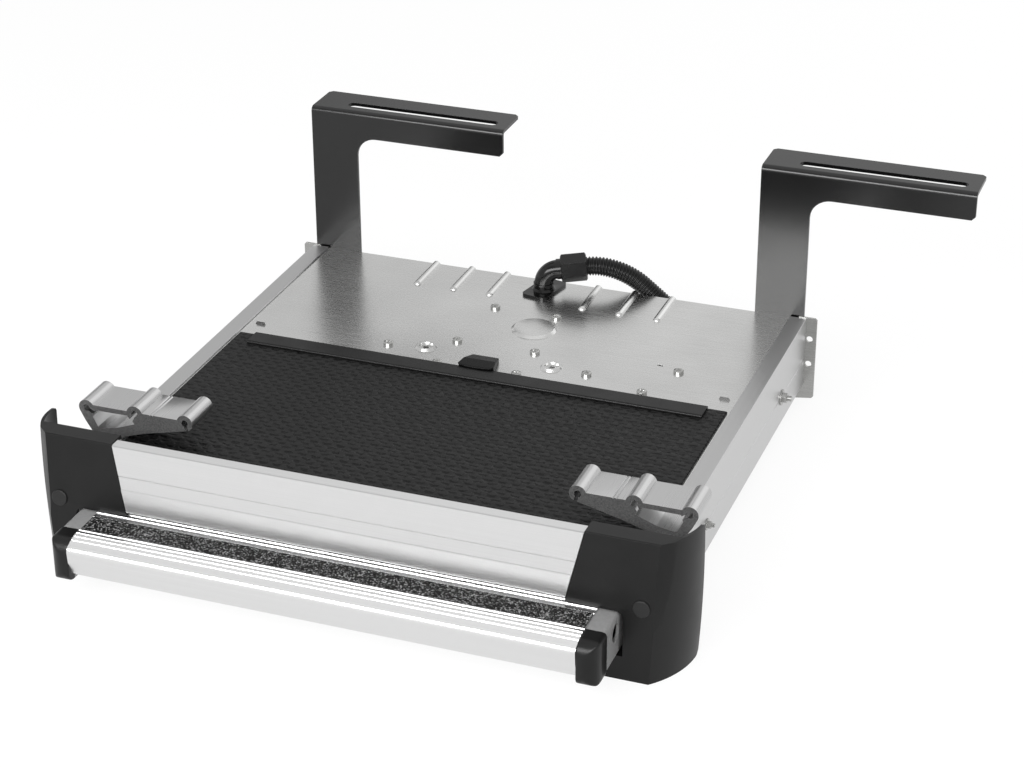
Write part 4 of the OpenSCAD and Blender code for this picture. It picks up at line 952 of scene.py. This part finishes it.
def screw_head():
    """A pan head with a cross recess, standing on its flat side."""
    form = bmesh.new()
    loops = []
    for ring in HEAD_RINGS:
        loop = []
        for k in range(HEAD_SIDES):
            turn = 2 * math.pi * k / HEAD_SIDES
            x, y = ring * math.cos(turn), ring * math.sin(turn)
            loop.append(form.verts.new(
                (HEAD_RADIUS * x, HEAD_RADIUS * y, head_height(x, y, ring))))
        loops.append(loop)
    foot = [form.verts.new((v.co.x, v.co.y, 0)) for v in loops[-1]]
    loops.append(foot)
    middle = form.verts.new((0, 0, HEAD_HEIGHT - CROSS_DEPTH))
    for k in range(HEAD_SIDES):
        j = (k + 1) % HEAD_SIDES
        form.faces.new((middle, loops[0][k], loops[0][j]))
        for a, b in zip(loops, loops[1:]):
            form.faces.new((a[k], b[k], b[j], a[j]))
    form.faces.new(list(reversed(foot)))
    for face in form.faces:
        face.smooth = True
    mesh = as_mesh(form, "screw_head")
    mesh.set_sharp_from_angle(angle=math.radians(50))
    return mesh


class STEP_OT_screws(bpy.types.Operator):
    """Makes the pan-head screws of the deck and finishes their nuts"""

    bl_idname = "pull_out_step.screws"
    bl_label = "Deck screws"

    def execute(self, context):
        places = bpy.data.meshes.new("screw_places")
        places.from_pydata([placed(x, y, 0) for x, y in SCREWS], [], [])
        master = bpy.data.objects.new("screw_head", screw_head())
        tree, given = shape_tree("screws", [
            ("Screw", "NodeSocketObject"), ("Turn", "NodeSocketFloat"),
            ("Seed", "NodeSocketInt")])
        screw = add(tree, "GeometryNodeObjectInfo", {"Object": given.outputs["Screw"]})
        turn = add(tree, "FunctionNodeRandomValue", {
            3: given.outputs["Turn"], "Seed": given.outputs["Seed"]}, data_type="FLOAT")
        angles = add(tree, "ShaderNodeCombineXYZ", {"Z": turn.outputs[1]})
        set_out = add(tree, "GeometryNodeInstanceOnPoints", {
            "Points": given.outputs["Geometry"], "Instance": screw.outputs["Geometry"],
            "Rotation": angles})
        close_tree(tree, set_out, finish("bright_zinc"))
        # A quarter turn at most brings the cross to every place it can have
        mesh = grown("screws", places, tree, {
            "Screw": master, "Turn": 1.57, "Seed": context.scene.step_shapes.seed})
        bpy.data.objects.remove(master)
        new_piece("deck_screws", mesh, "housing",
                  stands_for=("drive_screws", "plate_screws", "box_screws"))
        painted(("plate_nuts",), finish("bright_zinc"))
        return {"FINISHED"}


class STEP_OT_drive(bpy.types.Operator):
    """Finishes the drive under the deck"""

    bl_idname = "pull_out_step.drive"
    bl_label = "Drive"

    def execute(self, context):
        rounded("gearbox", "housing", finish("gearbox_cast"), MOULDED_EDGE)
        rounded("motor", "housing", finish("motor_powder"), FOLDED_EDGE)
        rounded("rack_guide", "housing", finish("guide_nylon"), MOULDED_EDGE)
        rounded("control_box", "housing", finish("box_abs"), BOX_EDGE)
        rounded("pinion", "drive_pinion", finish("gear_steel"), NO_EDGE)
        rounded("rack", "carriage", finish("gear_steel"), NO_EDGE)
        return {"FINISHED"}


class STEP_OT_tread(bpy.types.Operator):
    """Finishes the tread"""

    bl_idname = "pull_out_step.tread"
    bl_label = "Tread"

    def execute(self, context):
        rounded("tread", "carriage", finish("tread_anodised"), TREAD_EDGE, angle=20)
        return {"FINISHED"}


# The grit tape: distance between its grains, thickness of its backing and how far below the tape's
# top the grit starts, in metres
GRAIN_STEP = 0.0009
TAPE_BACKING = 0.0006
GRIT_START = 0.0008


class STEP_OT_tape(bpy.types.Operator):
    """Makes the grit tape on the tread"""

    bl_idname = "pull_out_step.tape"
    bl_label = "Grit tape"

    def execute(self, context):
        sizes = context.scene.step_shapes
        low, high = (Vector(corner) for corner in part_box("grip_tape"))
        wide, deep = high.x - low.x, high.y - low.y
        base = as_mesh(block(low, Vector((high.x, high.y, low.z + TAPE_BACKING))), "tape_base")
        tree, given = shape_tree("grit", [
            ("Width", "NodeSocketFloat"), ("Depth", "NodeSocketFloat"),
            ("Across", "NodeSocketInt"), ("Deep", "NodeSocketInt"),
            ("Grit", "NodeSocketFloat"), ("Seed", "NodeSocketInt"),
            ("Middle", "NodeSocketVector")])
        grid = add(tree, "GeometryNodeMeshGrid", {
            "Size X": given.outputs["Width"], "Size Y": given.outputs["Depth"],
            "Vertices X": given.outputs["Across"], "Vertices Y": given.outputs["Deep"]})
        lift = add(tree, "FunctionNodeRandomValue", {
            3: given.outputs["Grit"], "Seed": given.outputs["Seed"]}, data_type="FLOAT")
        up = add(tree, "ShaderNodeCombineXYZ", {"Z": lift.outputs[1]})
        place = add(tree, "ShaderNodeVectorMath", {0: up, 1: given.outputs["Middle"]},
                    operation="ADD")
        rough = add(tree, "GeometryNodeSetPosition", {"Geometry": grid, "Offset": place})
        joined = add(tree, "GeometryNodeJoinGeometry")
        tree.links.new(rough.outputs[0], joined.inputs[0])
        tree.links.new(given.outputs["Geometry"], joined.inputs[0])
        close_tree(tree, joined, finish("tape_grit"))
        mesh = grown("grip_tape", base, tree, {
            "Width": wide, "Depth": deep,
            "Across": int(wide / GRAIN_STEP), "Deep": int(deep / GRAIN_STEP),
            "Grit": sizes.grit, "Seed": sizes.seed,
            "Middle": ((low.x + high.x) / 2, (low.y + high.y) / 2, high.z - GRIT_START)})
        new_piece("tape", mesh, "carriage", stands_for=("grip_tape",))
        return {"FINISHED"}


class STEP_OT_arms(bpy.types.Operator):
    """Finishes the tread's arms, caps and screws, the cross member and the glides"""

    bl_idname = "pull_out_step.arms"
    bl_label = "Arms"

    def execute(self, context):
        for side in ("left", "right"):
            softened("tread_cap_" + side, "carriage", finish("tread_cap_rubber"),
                     voxel=0.0007, passes=20, filled=True)
            rounded("arm_" + side, "carriage", finish("arm_powder"), CUT_EDGE)
            rounded("arm_screw_" + side, "carriage", finish("bright_zinc"), CUT_EDGE)
            for place in ("front", "rear"):
                rounded("glide_%s_%s" % (place, side), "carriage", finish("glide_nylon"),
                        FOLDED_EDGE)
        rounded("cross_member", "carriage", finish("member_aluminium"), CUT_EDGE)
        return {"FINISHED"}


# The floor's half width in metres, its glow in mirrors and before the camera, and the share of its
# glow in what is seen, the rest being its own shaded surface
FLOOR_HALF = 12.0
GLOW_MIRRORED, GLOW_SEEN = 0.83, 1.04
GLOW_SHARE = 0.85

# Brightness of the room that lights the step without being seen
ROOM_LIGHT = 0.55

# Flags and reflectors around the step: which way each lies, the cosines of the angles from there at
# which it starts and is full, and how much it adds to the room's brightness
PATCHES = [
    ((-0.52, 0.835, 0.17), 0.97, 0.992, -0.7),
    ((-0.41, 0.76, 0.52), 0.975, 0.995, 0.12),
    ((-0.31, -0.62, 0.72), 0.94, 0.985, -0.3),
    ((-0.31, -0.84, 0.46), 0.96, 0.99, 0.3),
    ((0.25, 0.83, 0.5), 0.92, 0.97, 0.5),
]

# Powers of the two lamps that aren't settings, in watts, and where all lamps point in the drawing
KEY_POWER = 12.0
SIDE_POWER = 6.0
LAMP_AIM = (0, 260, 0)


def viewing_ray(tree, path):
    """Is 1 for a ray that is seen, straight, mirrored or through, and 0 for one that lights."""
    direct = add(tree, "ShaderNodeMath", {
        0: path.outputs["Is Camera Ray"], 1: path.outputs["Is Glossy Ray"]}, operation="ADD")
    return add(tree, "ShaderNodeMath", {
        0: direct, 1: path.outputs["Is Transmission Ray"]}, operation="ADD", use_clamp=True)


def pale_floor(colour):
    """Matt studio floor that glows for the camera, so that it is white and keeps the shadow."""
    material, tree = new_finish("pale_floor")
    path = add(tree, "ShaderNodeLightPath")
    matt = add(tree, "ShaderNodeBsdfDiffuse", {"Color": (*colour, 1)})
    level = add(tree, "ShaderNodeMapRange", {
        "Value": path.outputs["Is Camera Ray"], "To Min": GLOW_MIRRORED, "To Max": GLOW_SEEN})
    glow = add(tree, "ShaderNodeEmission", {"Color": (1, 1, 1, 1), "Strength": level})
    share = add(tree, "ShaderNodeMath", {0: viewing_ray(tree, path), 1: GLOW_SHARE},
                operation="MULTIPLY")
    mixed = add(tree, "ShaderNodeMixShader", {0: share, 1: matt, 2: glow})
    add(tree, "ShaderNodeOutputMaterial", {"Surface": mixed})
    return material


def studio_world():
    """A room that is white to the camera and has flags and reflectors for the metal to mirror."""
    world = bpy.data.worlds.new("studio")
    world.use_nodes = True
    tree = world.node_tree
    tree.nodes.clear()
    path = add(tree, "ShaderNodeLightPath")
    way = add(tree, "ShaderNodeTexCoord").outputs["Generated"]
    height = add(tree, "ShaderNodeSeparateXYZ", {"Vector": way})
    wall = add(tree, "ShaderNodeMapRange", {
        "Value": height.outputs["Z"], "From Min": 0.02, "From Max": 0.2,
        "To Min": 1.0, "To Max": 0.74}, interpolation_type="SMOOTHSTEP")
    ceiling = add(tree, "ShaderNodeMapRange", {
        "Value": height.outputs["Z"], "From Min": 0.82, "From Max": 0.92,
        "To Min": 0.0, "To Max": 0.15}, interpolation_type="SMOOTHSTEP")
    room = add(tree, "ShaderNodeMath", {0: wall, 1: ceiling}, operation="ADD")
    for aim, edge, core, level in PATCHES:
        toward = add(tree, "ShaderNodeVectorMath", {0: way, 1: Vector(aim).normalized()},
                     operation="DOT_PRODUCT")
        patch = add(tree, "ShaderNodeMapRange", {
            "Value": toward.outputs["Value"], "From Min": edge, "From Max": core,
            "To Min": 0.0, "To Max": level}, interpolation_type="SMOOTHSTEP")
        room = add(tree, "ShaderNodeMath", {0: room, 1: patch}, operation="ADD")
    bright = add(tree, "ShaderNodeMix", {
        0: path.outputs["Is Camera Ray"], 2: room, 3: 1.0}, data_type="FLOAT")
    seen = add(tree, "ShaderNodeBackground", {"Color": (1, 1, 1, 1), "Strength": bright})
    unseen = add(tree, "ShaderNodeBackground", {
        "Color": (1, 1, 1, 1), "Strength": ROOM_LIGHT})
    mixed = add(tree, "ShaderNodeMixShader", {
        0: viewing_ray(tree, path), 1: unseen, 2: seen})
    add(tree, "ShaderNodeOutputWorld", {"Surface": mixed})
    return world


def hung_lamp(name, place, power, width, height):
    """A rectangular lamp that points at the step and shows in no mirror image."""
    data = bpy.data.lights.new(name, "AREA")
    data.shape = "RECTANGLE"
    data.size, data.size_y = width, height
    data.energy = power
    lamp = bpy.data.objects.new(name, data)
    bpy.context.scene.collection.objects.link(lamp)
    lamp.location = place
    lamp.visible_glossy = False
    toward = placed(*LAMP_AIM) - Vector(place)
    lamp.rotation_euler = toward.to_track_quat("-Z", "Y").to_euler()
    return lamp


class STEP_OT_stage(bpy.types.Operator):
    """Sets the pale floor, the lamps and the world"""

    bl_idname = "pull_out_step.stage"
    bl_label = "Stage"

    def execute(self, context):
        stage = context.scene.step_stage
        mesh = bpy.data.meshes.new("floor")
        size, z = FLOOR_HALF, CAD_BOX[0][2]
        mesh.from_pydata([(-size, -size, z), (size, -size, z), (size, size, z),
                          (-size, size, z)], [], [(0, 1, 2, 3)])
        floor = bpy.data.objects.new("floor", mesh)
        context.scene.collection.objects.link(floor)
        floor.data.materials.append(pale_floor(stage.floor))
        context.scene.world = studio_world()

        # Each lamp's place, power, width and height, in metres and watts
        front = hung_lamp("front box", (-0.1, -2.2, 1.15), stage.front_power, 2.2, 0.8)
        hung_lamp("key", (-1.3, -1.5, 2.4), KEY_POWER, 1.6, 1.0)
        hung_lamp("back", (1.3, 2.3, 1.25), stage.back_power, 1.4, 0.9)
        hung_lamp("side", (2.6, -0.4, 1.3), SIDE_POWER, 1.2, 1.2)
        # The metal mirrors the front box, but the fascia is spared, as its own mirror image of the
        # box would burn out the tread
        front.visible_glossy = True
        spared = bpy.data.collections.new("spared by the front box")
        spared.objects.link(bpy.data.objects["front_fascia_piece"])
        for entry in spared.collection_objects:
            entry.light_linking.link_state = "EXCLUDE"
        front.light_linking.receiver_collection = spared
        context.scene.view_settings.view_transform = "Standard"
        return {"FINISHED"}


PIECES = (
    STEP_OT_camera, STEP_OT_hose, STEP_OT_elbow, STEP_OT_deck, STEP_OT_rails, STEP_OT_front,
    STEP_OT_brackets, STEP_OT_mat, STEP_OT_strip, STEP_OT_screws, STEP_OT_drive,
    STEP_OT_tread, STEP_OT_tape, STEP_OT_arms, STEP_OT_stage,
)


class STEP_PT_panel(bpy.types.Panel):
    """Lists the step's settings and pieces"""

    bl_idname = "STEP_PT_panel"
    bl_label = "Pull Out Step"
    bl_space_type = "VIEW_3D"
    bl_region_type = "UI"
    bl_category = "Pull Out Step"

    def draw(self, context):
        for group in (context.scene.step_colours, context.scene.step_shapes,
                      context.scene.step_stage):
            box = self.layout.box()
            for name in group.bl_rna.properties.keys():
                if name not in ("rna_type", "name"):
                    box.prop(group, name)
        for piece in PIECES:
            self.layout.operator(piece.bl_idname)


CLASSES = (StepColours, StepShapes, StepStage) + PIECES + (STEP_PT_panel,)


def register():
    """Registers the settings, the operators and the panel."""
    for cls in CLASSES:
        bpy.utils.register_class(cls)
    bpy.types.Scene.step_colours = PointerProperty(type=StepColours)
    bpy.types.Scene.step_shapes = PointerProperty(type=StepShapes)
    bpy.types.Scene.step_stage = PointerProperty(type=StepStage)


def unregister():
    """Removes what register added."""
    del bpy.types.Scene.step_stage
    del bpy.types.Scene.step_shapes
    del bpy.types.Scene.step_colours
    for cls in reversed(CLASSES):
        bpy.utils.unregister_class(cls)


def main():
    """Makes every piece and the stage."""
    register()
    for piece in PIECES:
        module, name = piece.bl_idname.split(".")
        getattr(getattr(bpy.ops, module), name)()


if __name__ == "__main__":
    main()
